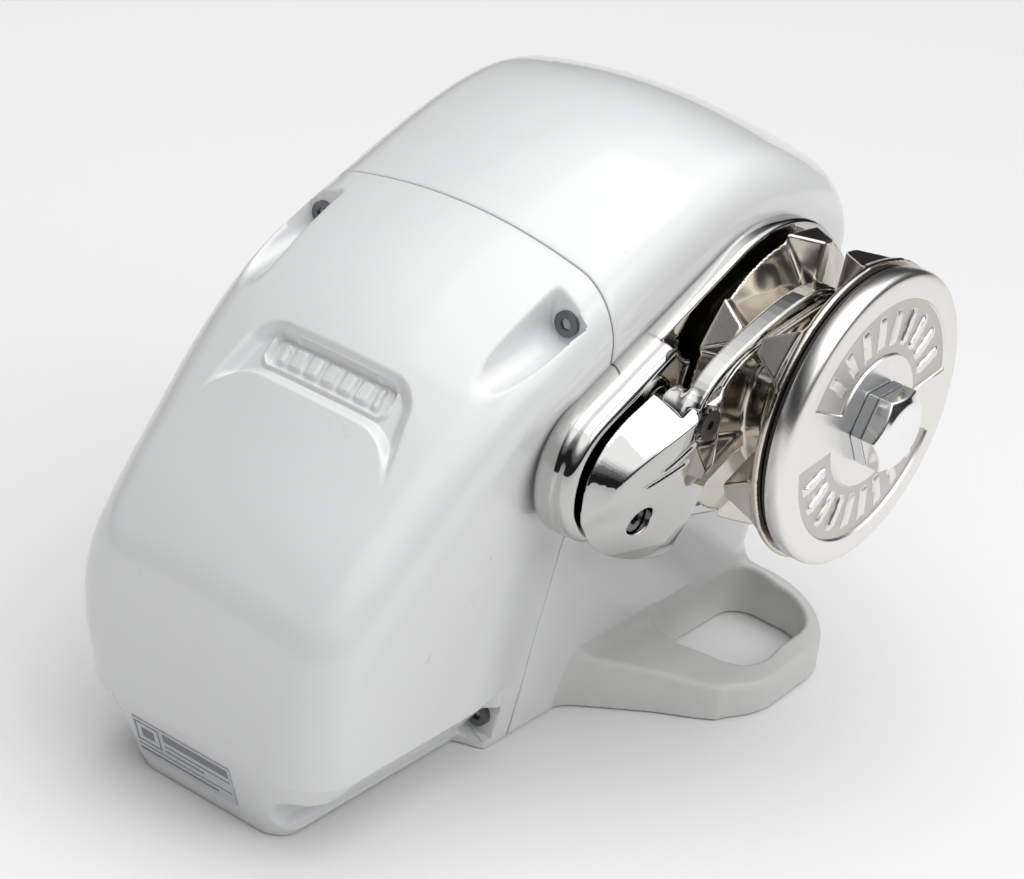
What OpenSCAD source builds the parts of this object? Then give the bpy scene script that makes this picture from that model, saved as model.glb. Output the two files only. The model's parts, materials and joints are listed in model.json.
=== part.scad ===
// Horizontal anchor windlass. X is the main shaft's axis, Y runs along the case and
// Z is up from the deck. The bow lies towards -Y. Millimetres.

/* [Case] */
// Height of the main shaft above the deck
shaft_h = 143.6; // [143:0.2:145]
// Distance from the main shaft to the joint between housing and cover
joint_y = 87.4; // [86.6:0.2:88.4]
// Half width of the case at its shoulders
case_half_w = 71; // [70.5:0.5:71]
// Height of the case's crest above the deck
crest_h = 231; // [229:1:233]
// Wall thickness of both castings
wall = 5; // [4:0.5:6]
// Thickness of the base beside the case
base_t = 24; // [22:1:25]
// Thickness of the chain pipe ring at its outer rim
ring_t = 12; // [10:1:16]
// Height of the step where the cover draws in to its skirt
step_h = 33; // [32:1:34]

/* [Gypsy and clutch] */
// Radius of the clutch disc
disc_r = 59; // [57:0.5:60]
// Radius of the gypsy over its inner flange
flange_r = 61; // [59:0.5:62]
// Number of chain pockets round the gypsy
pockets = 6; // [5:1:7]
// Width left between the teeth for upright links and the finger
slot_w = 9; // [8.5:0.5:10]
// Across flats of the clutch nut
nut_af = 29; // [27:0.5:30]

/* [Gearing] */
// Gear module
gear_m = 3; // [3:1:3]
// Teeth on the worm wheel
wheel_teeth = 30; // [30:1:30]
// Pitch radius of the worm
worm_pitch_r = 15; // [15:0.5:15.5]
// Face width of the worm wheel
wheel_face = 14; // [10:1:14]
// Play left on each flank of the mesh
flank_play = 0.35; // [0.3:0.05:0.5]

/* [Shafts] */
// Radius of the main shaft in its bearings
shaft_r = 12.5; // [12:0.25:13]
// Radius of the main shaft's outer end
shaft_end_r = 10; // [9.5:0.25:10.25]
// Radius of the worm's journals
worm_shaft_r = 8.5; // [8:0.25:9]
// Radius of the armature shaft
armature_shaft_r = 6; // [5.5:0.25:6]

/* [Motor] */
// Outer radius of the motor
motor_r = 42; // [40:0.5:42.5]
// Distance from the main shaft to the far end of the motor's tube
motor_len_y = 170; // [168:1:171]

/* [Mounting] */
// Radius of the tapped deck holes, drilled for M8
deck_hole_r = 3.4; // [3.3:0.1:3.5]
// Depth of the tapped deck holes
deck_hole_depth = 22; // [18:1:24]
// Spacing of the deck holes across the case
deck_hole_dx = 64; // [60:1:66]
// Spacing of the deck holes along the case
deck_hole_dy = 100; // [96:1:102]

/* [Hidden] */
$fn = 64;
fit = 0.05;    // radial clearance of a running fit
gap = 0.3;     // clearance between faces that do not touch
hull_fn = 24;  // segments of the spheres inside a hull

// Gear train: a single-start right-hand worm under the wheel
wheel_pitch_r = gear_m * wheel_teeth / 2;
motor_z = shaft_h - wheel_pitch_r - worm_pitch_r;
lead = PI * gear_m;
lead_angle = atan(lead / (2 * PI * worm_pitch_r));
worm_tip_r = worm_pitch_r + gear_m;
worm_root_r = worm_pitch_r - 1.25 * gear_m;
thread_turns = 5;
thread_steps = 24;
pressure_angle = 20;
wheel_base_r = wheel_pitch_r * cos(pressure_angle);
wheel_root_r = wheel_pitch_r - 1.25 * gear_m;
wheel_tip_r = wheel_pitch_r + gear_m;
hub_r = 20;
hub_w = 24;

// Case section at the joint: crown, shoulder and flank
crown_z = 207.4;
crown_edge = [50, 198.8];
shoulder = [case_half_w, 168];
foot_w = 48.5;
gasket_t = 0.6;
housing_y0 = -joint_y + gasket_t / 2;
cover_y1 = -joint_y - gasket_t / 2;
nose_y = 68;

// Gear chamber, carrier and bearings along X
wall_face = 71.3;
chamber_r = 49.5;
chamber_x0 = -20;
bearing_r = 26;
bearing_w = 15;
carrier_x0 = 48;
carrier_x1 = 64;
carrier_flange_r = 58;
carrier_flange_t = 6;
carrier_screw_r = 53.8;
seal_seat_r = 20;
barrel_r = 56;

// Worm tunnel and bearings along Y
tunnel_r = 20;
tunnel_wall = 6;
worm_bearing_w = 12;
worm_bearing_y = 36;
motor_face_y = -66;
motor_flange_t = 9;
can_y1 = -78;
can_t = 4;
core_r = 27;
core_y0 = -142;
core_y1 = -94;
slots = 12;
commutator_r = 15;
commutator_y0 = -166;
commutator_y1 = -153;
motor_bearing_r = 16;
motor_bearing_w = 10;
end_cap_t = 12;

// Gypsy stack along X
plate_x1 = 79;
plate_thick_x1 = 86.5;
plate_r = 60;
plate_hole_r = 36;
groove_x = 101;
gypsy_x0 = 84;
gypsy_x1 = 122;
rim_t = 2.2;
groove_r = 33;
cone_r_big = 28;
cone_r_small = 23;
web_half = 4.5;
bush_r = 15.5;
tooth_in_r = 34;
tooth_out_r = 58.5;
step_x = 107.6;
seal_x0 = 122.4;
disc_x0 = 124.6;
disc_x1 = 132.8;
nut_x0 = 132.9;
nut_split = 137.6;
nut_x1 = 146.3;
shaft_x0 = -36;
shaft_x1 = 142;
key_w = 8;
disc_key_w = 6;

// Stripper and finger, as (y, z) places in the plane across the shaft
tail = [-98, 136];
tail_r = 28;
pivot = [-74, 156.5];
stripper_tail = [-93.5, 126.5];
stripper_x0 = 88;
stripper_x1 = 108;
finger_r = 8.5;
finger_w = slot_w - 1;
pivot_r = 3.4;
lower_screw = [-96, 121];
base_screw_places = [[-71, 172], [-70, 106]];

// Screws that join cover and housing, as (x, z)
cover_screw_places = [[57.5, 185.3], [42, 12]];
pocket_ends = [-160, -112];
cover_screw_y = -95;
pocket_r = 8;
nut_turn = 30;  // turn that sets two of the nut's flats level
skirt_lean = 20.8;  // lean of the skirt's bow face from upright

function mirror_list(p) =
    concat(p, [for (i = [len(p) - 1:-1:0]) if (p[i][0] > 0.01) [-p[i][0], p[i][1]]]);
function bezier(a, b, c, d, t) =
    pow(1 - t, 3) * a + 3 * pow(1 - t, 2) * t * b + 3 * (1 - t) * t * t * c + pow(t, 3) * d;
function spot(r, a) = [r * cos(a), r * sin(a)];
function arc(c, r, a0, a1, n) = [for (i = [0:n]) c + spot(r, a0 + (a1 - a0) * i / n)];
function inv(a) = tan(a) - a * PI / 180;
// Half thickness, as an angle, of a worm wheel tooth at radius r
function tooth_half(r) =
    (PI / 2 / wheel_teeth - flank_play / 2 / wheel_pitch_r + inv(pressure_angle)
    - inv(acos(min(1, wheel_base_r / r)))) * 180 / PI;

// Half outline of the case section at the joint, from the crown down to z0
function crown_half(z0, n = 5) = concat(
    [for (i = [0:n]) let (x = crown_edge[0] * i / n)
        [x, crown_z - (crown_z - crown_edge[1]) * pow(i / n, 2)]],
    [for (i = [1:n]) bezier(crown_edge, crown_edge + [13, -4.3],
        shoulder + [0.2, 15], shoulder, i / n)],
    [[foot_w + (shoulder[0] - foot_w) * z0 / shoulder[1], z0]]);

module xcyl(x0, x1, r, sides = 64) {
    translate([x0, 0, 0]) rotate([0, 90, 0]) cylinder(h = x1 - x0, r = r, $fn = sides);
}
module xcone(x0, x1, r0, r1) {
    translate([x0, 0, 0]) rotate([0, 90, 0]) cylinder(h = x1 - x0, r1 = r0, r2 = r1);
}
module ycyl(y0, y1, r, sides = 64) {
    translate([0, y1, 0]) rotate([90, 0, 0]) cylinder(h = y1 - y0, r = r, $fn = sides);
}
module on_shaft() {
    translate([0, 0, shaft_h]) children();
}
module on_motor() {
    translate([0, 0, motor_z]) children();
}
module at_yz(p) {
    translate([0, p[0], p[1]]) children();
}
module both_sides() {
    children();
    mirror([1, 0, 0]) children();
}
// A profile of (x, r) points turned about the X axis
module turned(profile) {
    rotate([0, 90, 0]) rotate_extrude() polygon([for (p = profile) [p[1], p[0]]]);
}
// A slab between x0 and x1, its outline given in (y, z)
module yz_slab(x0, x1) {
    translate([x0, 0, 0]) rotate([90, 0, 90]) linear_extrude(x1 - x0) children();
}
// Outline round two circles, with straight tangents between their arcs
module capsule(c1, r1, c2, r2) {
    d = c2 - c1;
    a = atan2(d[1], d[0]);
    b = acos((r1 - r2) / norm(d));
    polygon(concat(arc(c1, r1, a + b, a + 360 - b, 36), arc(c2, r2, a - b, a + b, 16)));
}
module plate_outline(grow = 0) {
    capsule([0, shaft_h], plate_r + grow, tail, tail_r + grow);
}
module ball(x, y, z, r) {
    translate([x, y, z]) sphere(r, $fn = hull_fn);
}
module section_slice(inset, y) {
    translate([0, y, 0]) rotate([90, 0, 0]) linear_extrude(0.4)
        offset(delta = -inset) polygon(mirror_list(crown_half(base_t)));
}
module box_between(a, b) {
    translate(a) cube(b - a);
}

// Outer form of the front casting above its base, drawn in by inset
module housing_form(inset) hull() {
    section_slice(inset, housing_y0 + 0.4);
    ball(0, -45, crest_h - 30.5, 22 - inset);
    ball(0, 0, crest_h - 25, 25 - inset);
    ball(0, 36, crest_h - 53.5, 40 - inset);
    both_sides() {
        ball(case_half_w - 24, -45, crest_h - 41, 24 - inset);
        ball(case_half_w - 26, 0, crest_h - 36, 26 - inset);
        ball(case_half_w - 26, 50, crest_h - 51, 26 - inset);
        translate([36, nose_y - 12, base_t]) cylinder(h = 1, r = 15 - inset, $fn = hull_fn);
    }
}
// Outer form of the motor cover above its step, drawn in by inset
module cover_form(inset) hull() {
    section_slice(inset, cover_y1);
    ball(0, -130, crown_z - 46.4, 22 - inset);
    ball(0, -201, 86, 25 - inset);
    both_sides() {
        ball(case_half_w - 23, -128, 152, 22 - inset);
        ball(36, -203, 86, 25 - inset);
        translate([39, -175, step_h]) cylinder(h = 1, r = 20 - inset, $fn = hull_fn);
        translate([36, -206, step_h]) cylinder(h = 1, r = 12 - inset, $fn = hull_fn);
    }
}
// Skirt of the cover, from the step down to the deck, drawn in by inset
module skirt_form(inset) hull() {
    both_sides() {
        translate([29, -196.5, 0]) cylinder(h = 0.5, r = 9 - inset, $fn = hull_fn);
        translate([29, -110, 0]) cylinder(h = 0.5, r = 8 - inset, $fn = hull_fn);
        translate([34, -207, step_h]) cylinder(h = 1, r = 11 - inset, $fn = hull_fn);
        translate([43, -175, step_h]) cylinder(h = 1, r = 14 - inset, $fn = hull_fn);
        translate([43, -110, step_h]) cylinder(h = 1, r = 10 - inset, $fn = hull_fn);
    }
}
// Plan of the casting's foot, drawn in by inset
module foot_plan(inset) {
    w = foot_w - inset;
    y1 = nose_y + 2 - inset;
    translate([-w, housing_y0]) square([2 * w, y1 - 18 - housing_y0]);
    translate([-w + 18, housing_y0]) square([2 * w - 36, y1 - housing_y0]);
    for (s = [-1, 1]) translate([s * (w - 18), y1 - 18]) circle(18);
}
// Plan of the chain pipe ring with its webs back to the foot
module ring_plan() {
    capsule([72, 10], 35, [71, 34], 35);
    polygon([[40, -60], [51, -53], [96, -15], [72, 40], [46, 73], [20, 66]]);
    polygon([[20, 40], [20, 66], [46, 73], [71, 69], [71, 40]]);
}
// Plan of the hole that the chain falls through
module chain_hole_plan() {
    capsule([65, 6], 14, [78, 16], 18);
    capsule([78, 16], 18, [75, 42], 20);
    capsule([63, 50], 12, [65, 6], 14);
    polygon([[65, 6], [78, 16], [75, 42], [63, 50]]);
}

module gear_housing() color("whitesmoke") difference() {
    union() {
        intersection() {
            housing_form(0);
            box_between([-100, housing_y0, base_t], [100, 100, 300]);
        }
        linear_extrude(base_t + 0.5) foot_plan(0);
        ring_plate();
        intersection() {
            yz_slab(50, wall_face) plate_outline();
            box_between([40, housing_y0, 0], [100, 100, 300]);
        }
    }
    difference() {
        union() {
            housing_form(wall);
            translate([0, -wall, -1]) linear_extrude(base_t + 6) foot_plan(wall + 1.5);
        }
        housing_bosses();
    }
    on_shaft() {
        xcyl(chamber_x0, 80, chamber_r);
        xcyl(chamber_x0 - bearing_w, chamber_x0 + 1, bearing_r);
        xcyl(shaft_x0 - 2, chamber_x0, shaft_r + 3);
        xcyl(carrier_x1, 80, carrier_flange_r + gap);
        for (a = [30:60:330]) rotate([a, 0, 0]) translate([0, 0, carrier_screw_r])
            xcyl(carrier_x1 - 14, carrier_x1 + 1, 1.7);
    }
    on_motor() {
        ycyl(-joint_y - 1, worm_bearing_y + worm_bearing_w, tunnel_r);
        lug_places() ycyl(motor_face_y - 1, motor_face_y + motor_flange_t + 1, 2.5);
    }
    deck_holes();
    for (p = cover_screw_places) both_sides() translate([p[0], 0, p[1]])
        ycyl(housing_y0 - 1, housing_y0 + 17, 2.5);
    for (p = base_screw_places) at_yz(p) xcyl(wall_face - 14, wall_face + 1, 2.5);
    translate([0, 0, -1]) linear_extrude(base_t + 2) chain_hole_plan();
}
// Chain pipe ring: its top falls from the case wall to the outer rim
module ring_plate() difference() {
    linear_extrude(base_t) ring_plan();
    translate([foot_w, -100, base_t]) rotate([0, atan((base_t - ring_t) / 58), 0])
        cube([120, 300, 60]);
}
module housing_bosses() {
    on_shaft() xcyl(shaft_x0 - 2 - wall, wall_face, barrel_r);
    at_yz([-70, 140]) xcyl(54, wall_face, 38);
    on_motor() {
        ycyl(motor_face_y, worm_bearing_y + worm_bearing_w + wall, tunnel_r + tunnel_wall);
        ycyl(motor_face_y, motor_face_y + motor_flange_t, motor_r + 9);
    }
    for (sx = [-1, 1]) for (sy = [-1, 1])
        translate([sx * deck_hole_dx / 2, sy * deck_hole_dy / 2, -2])
            cylinder(h = deck_hole_depth + 14, r = 11);
    for (p = cover_screw_places) both_sides() translate([p[0], 0, p[1]])
        ycyl(housing_y0 - 2, housing_y0 + 22, 8);
}
module deck_holes() {
    for (sx = [-1, 1]) for (sy = [-1, 1])
        translate([sx * deck_hole_dx / 2, sy * deck_hole_dy / 2, -1])
            cylinder(h = deck_hole_depth + 1, r = deck_hole_r);
}

module motor_cover() color("white") difference() {
    union() {
        intersection() {
            cover_form(0);
            box_between([-100, -300, step_h], [100, cover_y1, 300]);
        }
        intersection() {
            skirt_form(0);
            box_between([-100, -300, 0], [100, cover_y1, step_h + 0.5]);
        }
        box_between([-foot_w, -108, 0], [foot_w, cover_y1, step_h + 1]);
    }
    difference() {
        union() {
            cover_form(wall);
            skirt_form(wall);
            box_between([-foot_w + wall, -112, -1], [foot_w - wall, 0, step_h + 8]);
            translate([0, 0, -1]) linear_extrude(2) polygon(
                [[-31, -112], [31, -112], [31, -198], [-31, -198]]);
        }
        cover_bosses();
    }
    for (i = [0, 1]) both_sides()
        translate([cover_screw_places[i][0], 0, cover_screw_places[i][1]]) {
            ycyl(pocket_ends[i], cover_screw_y, pocket_r);
            ycyl(cover_screw_y - 1, -joint_y + 1, 3.3);
        }
    badge_recess();
}
module cover_bosses() {
    for (p = cover_screw_places) both_sides() translate([p[0], 0, p[1]])
        ycyl(-118, -joint_y + 1, pocket_r + 4);
}
// Shallow recess on the sloping face, with plain ends
module badge_recess() {
    translate([0, -163.5, 163]) rotate([46, 0, 0]) {
        translate([0, 0, -4]) linear_extrude(12) {
            square([46, 15], center = true);
            for (s = [-1, 1]) translate([s * 23, 0]) circle(7.5);
        }
    }
}
module cover_gasket() color("dimgray") translate([0, -joint_y + gasket_t / 2, 0])
    rotate([90, 0, 0]) linear_extrude(gasket_t) difference() {
        polygon(mirror_list(crown_half(0)));
        offset(delta = -wall + 0.4) polygon(mirror_list(crown_half(-wall)));
        for (p = cover_screw_places) for (s = [-1, 1]) translate([s * p[0], p[1]]) circle(3.3);
    }
module cover_screws() color("dimgray") for (p = cover_screw_places) both_sides()
    translate([p[0], cover_screw_y, p[1]]) rotate([90, 0, 0]) cap_screw(3, 21, 5, 5.5);
// Socket head screw: its head stands up from z = 0 and its shank goes down
module cap_screw(r, len, head_r, head_h) {
    difference() {
        cylinder(h = head_h, r = head_r);
        translate([0, 0, head_h - 3]) cylinder(h = 4, r = head_r * 0.5, $fn = 6);
    }
    translate([0, 0, -len]) cylinder(h = len + 1, r = r - 0.55);
}
// Blank plate on the skirt's sloping bow face
module rating_plate() color("silver") translate([-6, -208.6, 8]) rotate([skirt_lean, 0, 0])
    translate([-24, -0.5, 0]) cube([48, 0.5, 20]);

module bearing_carrier() color("silver") on_shaft() difference() {
    turned([
        [carrier_x0, bearing_r], [carrier_x0, chamber_r], [carrier_x1, chamber_r],
        [carrier_x1, carrier_flange_r], [carrier_x1 + carrier_flange_t, carrier_flange_r],
        [carrier_x1 + carrier_flange_t, seal_seat_r], [carrier_x0 + bearing_w, seal_seat_r],
        [carrier_x0 + bearing_w, bearing_r]
    ]);
    for (a = [30:60:330]) rotate([a, 0, 0]) translate([0, 0, carrier_screw_r]) {
        xcyl(carrier_x1 - 1, 80, 2.2);
        xcyl(carrier_x1 + 3, 80, 3.8);
    }
}
module carrier_screws() color("dimgray") on_shaft() for (a = [30:60:330]) rotate([a, 0, 0])
    translate([carrier_x1 + 3, 0, carrier_screw_r]) rotate([0, 90, 0]) cap_screw(2, 14, 3.5, 3.6);
module oil_seal() color("black") on_shaft() turned([
    [carrier_x0 + bearing_w + gap, shaft_r + fit], [carrier_x0 + bearing_w + gap, seal_seat_r],
    [carrier_x1 + carrier_flange_t, seal_seat_r], [carrier_x1 + carrier_flange_t, shaft_r + 3],
    [carrier_x1 + 2, shaft_r + fit]
]);

// Key lying along X in the top of a shaft of radius r
module shaft_key(x0, x1, r, w, h) {
    translate([x0, -w / 2, r - h / 2]) cube([x1 - x0, w, h]);
}
module main_shaft() color("lightgray") on_shaft() difference() {
    turned([
        [shaft_x0, 0], [shaft_x0, shaft_r - 1], [shaft_x0 + 1, shaft_r], [step_x, shaft_r],
        [step_x, shaft_end_r], [shaft_x1 - 1.5, shaft_end_r], [shaft_x1, shaft_end_r - 1.5],
        [shaft_x1, 0]
    ]);
    shaft_key(-10, 10, shaft_r, key_w, 7);
    shaft_key(73, 83, shaft_r, key_w, 7);
    shaft_key(109, 131, shaft_end_r, disc_key_w, 6);
    for (x = [-hub_w / 2 - 2.05, hub_w / 2 + 0.25]) difference() {
        xcyl(x, x + 1.8, shaft_r + 1);
        xcyl(x - 1, x + 3, shaft_r - 0.9);
    }
}
module wheel_key() color("gray") on_shaft() shaft_key(-10, 10, shaft_r, key_w, 7);
module inner_cone_key() color("gray") on_shaft() shaft_key(73, 83, shaft_r, key_w, 7);
module disc_key() color("gray") on_shaft() shaft_key(109, 131, shaft_end_r, disc_key_w, 6);
module wheel_tooth() {
    radii = [wheel_root_r - 1, wheel_base_r, 43.5, wheel_pitch_r, 46.5, wheel_tip_r];
    side = [for (r = radii) spot(r, tooth_half(r) - 90)];
    intersection() {
        rotate([0, 0, lead_angle]) yz_slab(-wheel_face, wheel_face)
            polygon(concat(side, [for (i = [len(side) - 1:-1:0]) [-side[i][0], side[i][1]]]));
        xcyl(-wheel_face / 2, wheel_face / 2, wheel_tip_r + 5);
    }
}
module worm_wheel() color("goldenrod") on_shaft() difference() {
    union() {
        xcyl(-wheel_face / 2, wheel_face / 2, wheel_root_r);
        xcyl(-hub_w / 2, hub_w / 2, hub_r);
        for (i = [0:wheel_teeth - 1]) rotate([(i + 0.5) * 360 / wheel_teeth, 0, 0]) wheel_tooth();
    }
    xcyl(-50, 50, shaft_r);
    shaft_key(-20, 20, shaft_r, key_w, 7.4);
    for (a = [0:60:300]) rotate([a + 30, 0, 0]) translate([0, 0, 30]) xcyl(-20, 20, 5);
}
module wheel_circlips() color("gray") on_shaft()
    for (x = [-hub_w / 2 - 2, hub_w / 2 + 0.3]) difference() {
        xcyl(x, x + 1.7, shaft_r + 2.6);
        xcyl(x - 1, x + 3, shaft_r - 0.85);
        translate([x - 1, -2, -shaft_r - 4]) cube([4, 4, 8]);
    }

// Rolling bearing standing on the X-Y plane, as separate pieces
module outer_race(ri, ro, w, ball_r) rotate_extrude() difference() {
    translate([(ri + ro) / 2 + ball_r * 0.45, 0]) square([(ro - ri) / 2 - ball_r * 0.45, w]);
    translate([(ri + ro) / 2, w / 2]) circle(ball_r + 0.15);
}
module inner_race(ri, ro, w, ball_r) rotate_extrude() difference() {
    translate([ri, 0]) square([(ro - ri) / 2 - ball_r * 0.45, w]);
    translate([(ri + ro) / 2, w / 2]) circle(ball_r + 0.15);
}
module race_balls(ri, ro, w, ball_r, count) {
    for (i = [0:count - 1]) rotate([0, 0, i * 360 / count])
        translate([(ri + ro) / 2, 0, w / 2]) sphere(ball_r, $fn = 24);
}
module shaft_bearings() on_shaft() for (x = [chamber_x0 - bearing_w, carrier_x0])
    translate([x, 0, 0]) rotate([0, 90, 0]) children();
module worm_bearings() on_motor() for (y = [-worm_bearing_y, worm_bearing_y + worm_bearing_w])
    translate([0, y, 0]) rotate([90, 0, 0]) children();
module motor_bearings() on_motor() for (y = [motor_face_y - 1.5, -motor_len_y])
    translate([0, y, 0]) rotate([90, 0, 0]) children();
module shaft_outer_races() color("lightsteelblue") shaft_bearings()
    outer_race(shaft_r, bearing_r, bearing_w, 3.9);
module shaft_inner_races() color("lightsteelblue") shaft_bearings()
    inner_race(shaft_r, bearing_r, bearing_w, 3.9);
module shaft_balls() color("silver") shaft_bearings()
    race_balls(shaft_r, bearing_r, bearing_w, 3.9, 9);
module worm_outer_races() color("lightsteelblue") worm_bearings()
    outer_race(worm_shaft_r, tunnel_r, worm_bearing_w, 3.2);
module worm_inner_races() color("lightsteelblue") worm_bearings()
    inner_race(worm_shaft_r, tunnel_r, worm_bearing_w, 3.2);
module worm_balls() color("silver") worm_bearings()
    race_balls(worm_shaft_r, tunnel_r, worm_bearing_w, 3.2, 8);
module motor_outer_races() color("lightsteelblue") motor_bearings()
    outer_race(armature_shaft_r, motor_bearing_r, motor_bearing_w, 2.8);
module motor_inner_races() color("lightsteelblue") motor_bearings()
    inner_race(armature_shaft_r, motor_bearing_r, motor_bearing_w, 2.8);
module motor_balls() color("silver") motor_bearings()
    race_balls(armature_shaft_r, motor_bearing_r, motor_bearing_w, 2.8, 8);

// Worm thread: a trapezoid swept along a right-hand helix
module worm_thread() {
    half = lead / 4 - flank_play / 2;
    slope = tan(pressure_angle);
    inner_r = worm_root_r - 1;
    root_half = half + (worm_pitch_r - inner_r) * slope;
    tip_half = half - (worm_tip_r - worm_pitch_r) * slope;
    profile = [[inner_r, -root_half], [worm_tip_r, -tip_half], [worm_tip_r, tip_half],
        [inner_r, root_half]];
    steps = thread_turns * thread_steps;
    points = [for (i = [0:steps]) for (p = profile)
        let (turn = i / thread_steps - thread_turns / 2)
        [p[0] * sin(360 * turn), p[1] + lead * turn, p[0] * cos(360 * turn)]];
    sides = [for (i = [0:steps - 1]) for (k = [0:3]) let (a = 4 * i + k, b = 4 * i + (k + 1) % 4)
        [a, b, b + 4, a + 4]];
    last = 4 * steps;
    polyhedron(points, concat([[3, 2, 1, 0]], sides, [[last, last + 1, last + 2, last + 3]]));
}
module worm() color("darkgray") on_motor() {
    worm_thread();
    ycyl(-28, 28, worm_root_r);
    ycyl(-58, worm_bearing_y + worm_bearing_w - 0.5, worm_shaft_r);
}
module coupling_sleeve() color("gray") on_motor() difference() {
    ycyl(motor_face_y + 1, -50, 12);
    ycyl(-58, -49, worm_shaft_r);
    ycyl(-70, -57, armature_shaft_r);
}
module bearing_spacer() color("silver") on_motor() difference() {
    ycyl(motor_face_y, -worm_bearing_y - worm_bearing_w, tunnel_r);
    ycyl(-70, -40, tunnel_r - 4);
}

module motor_front_plate() color("silver") on_motor() difference() {
    union() {
        ycyl(can_y1, motor_face_y, motor_r - 0.5);
        lug_places() ycyl(can_y1 + 4, motor_face_y, 6);
    }
    ycyl(can_y1 - 1, motor_face_y - 1.5, motor_bearing_r);
    ycyl(can_y1 - 1, motor_face_y + 1, 9);
    lug_places() ycyl(can_y1, motor_face_y + 1, 3);
    bolt_places() ycyl(can_y1 - 1, motor_face_y - 2, 2.2);
}
// Lugs that fix the motor to the housing, and the long bolts through it
module lug_places() {
    for (a = [45, 225]) rotate([0, a, 0]) translate([0, 0, motor_r + 4]) children();
}
module bolt_places() {
    for (a = [90, 270]) rotate([0, a, 0]) translate([0, 0, motor_r - 7.5]) children();
}
module motor_can() color("dimgray") on_motor() difference() {
    ycyl(-motor_len_y, can_y1, motor_r);
    ycyl(-motor_len_y - 1, can_y1 + 1, motor_r - can_t);
}
module motor_end_cap() color("silver") on_motor() difference() {
    ycyl(-motor_len_y - end_cap_t, -motor_len_y, motor_r);
    ycyl(-motor_len_y - motor_bearing_w, -motor_len_y + 1, motor_bearing_r);
    bolt_places() ycyl(-motor_len_y - end_cap_t - 1, -motor_len_y + 1, 2.2);
    for (s = [-1, 1]) translate([s * 14, 0, 26])
        ycyl(-motor_len_y - end_cap_t - 1, -motor_len_y + 1, 3.2);
}
module field_magnets() color("darkslategray") on_motor() for (a = [45, 225]) rotate([0, a, 0])
    difference() {
        intersection() {
            ycyl(core_y0 - 2, core_y1 + 2, motor_r - can_t);
            translate([0, 0, 50]) cube([66, 400, 70], center = true);
        }
        ycyl(-300, 0, core_r + 1.5);
        for (b = [-45, 45]) rotate([0, b, 0]) translate([0, 0, motor_r - 7.5]) ycyl(-300, 0, 3);
    }
module armature_shaft() color("lightgray") on_motor()
    ycyl(-motor_len_y - motor_bearing_w + 0.5, -58.5, armature_shaft_r);
module slot_places(count) {
    for (i = [0:count - 1]) rotate([0, i * 360 / count, 0]) children();
}
module armature_core() color("slategray") on_motor() difference() {
    ycyl(core_y0, core_y1, core_r);
    ycyl(core_y0 - 1, core_y1 + 1, armature_shaft_r);
    slot_places(slots) translate([-2.5, core_y0 - 1, 15]) cube([5, core_y1 - core_y0 + 2, 14]);
}
module windings() color("chocolate") on_motor() {
    slot_places(slots) translate([-2.2, core_y0 - 4, 15.3])
        cube([4.4, core_y1 - core_y0 + 8, 8]);
    for (y = [core_y0 - 9, core_y1 + 1]) difference() {
        ycyl(y, y + 8, 24);
        ycyl(y - 1, y + 9, 11);
    }
}
module commutator() color("peru") on_motor() difference() {
    ycyl(commutator_y0, commutator_y1, commutator_r);
    ycyl(-200, -100, armature_shaft_r);
    slot_places(slots * 2) translate([-0.3, -200, commutator_r - 1]) cube([0.6, 100, 3]);
}
brush_y = (commutator_y0 + commutator_y1) / 2;
module brush_places() on_motor() for (a = [45:90:315]) rotate([0, a, 0]) translate([0, brush_y, 0])
    children();
module brush_holders() color("saddlebrown") {
    brush_places() difference() {
        translate([-6, -6, commutator_r + 1.5]) cube([12, 12, 18]);
        translate([-4.2, -4.2, commutator_r - 2]) cube([8.4, 8.4, 20]);
    }
    on_motor() difference() {
        ycyl(-motor_len_y, brush_y - 6, motor_r - can_t);
        ycyl(-200, -100, commutator_r + 3);
        bolt_places() ycyl(-200, 0, 2.4);
    }
}
module brushes() color("black") brush_places()
    translate([-4, -4, commutator_r + 0.2]) cube([8, 8, 9.8]);
module brush_springs() color("silver") brush_places()
    translate([0, 0, commutator_r + 10]) difference() {
        cylinder(h = 8, r = 3);
        translate([0, 0, -1]) cylinder(h = 10, r = 2.2);
    }
module motor_bolts() color("gray") on_motor() bolt_places() {
    ycyl(-motor_len_y - end_cap_t - 3, -motor_len_y - end_cap_t, 4, 6);
    ycyl(-motor_len_y - end_cap_t - 1, motor_face_y - 3, 2);
}
module terminal_posts() color("peru") on_motor() for (s = [-1, 1]) translate([s * 14, 0, 26]) {
    ycyl(-motor_len_y - end_cap_t - 9, -motor_len_y, 3);
    ycyl(-motor_len_y - end_cap_t - 4, -motor_len_y - end_cap_t, 5.5, 6);
}

module inner_cone() color("silver") on_shaft() difference() {
    union() {
        xcyl(wall_face - 0.6, gypsy_x0, hub_r);
        xcyl(plate_x1 + 0.5, gypsy_x0, cone_r_big);
        xcone(gypsy_x0, groove_x - web_half - 0.5, cone_r_big, cone_r_small);
    }
    xcyl(0, 200, shaft_r);
    shaft_key(60, 90, shaft_r, key_w, 7.4);
}
gypsy_profile = [
    [gypsy_x0, cone_r_big + gap], [groove_x - web_half, cone_r_small + gap],
    [groove_x - web_half, bush_r], [groove_x + web_half, bush_r],
    [groove_x + web_half, cone_r_small + gap], [gypsy_x1, cone_r_big + gap],
    [gypsy_x1, flange_r - 1], [gypsy_x1 - rim_t, flange_r - 1],
    [groove_x + slot_w / 2, groove_r], [groove_x - slot_w / 2, groove_r],
    [gypsy_x0 + rim_t, flange_r], [gypsy_x0, flange_r]
];
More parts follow.
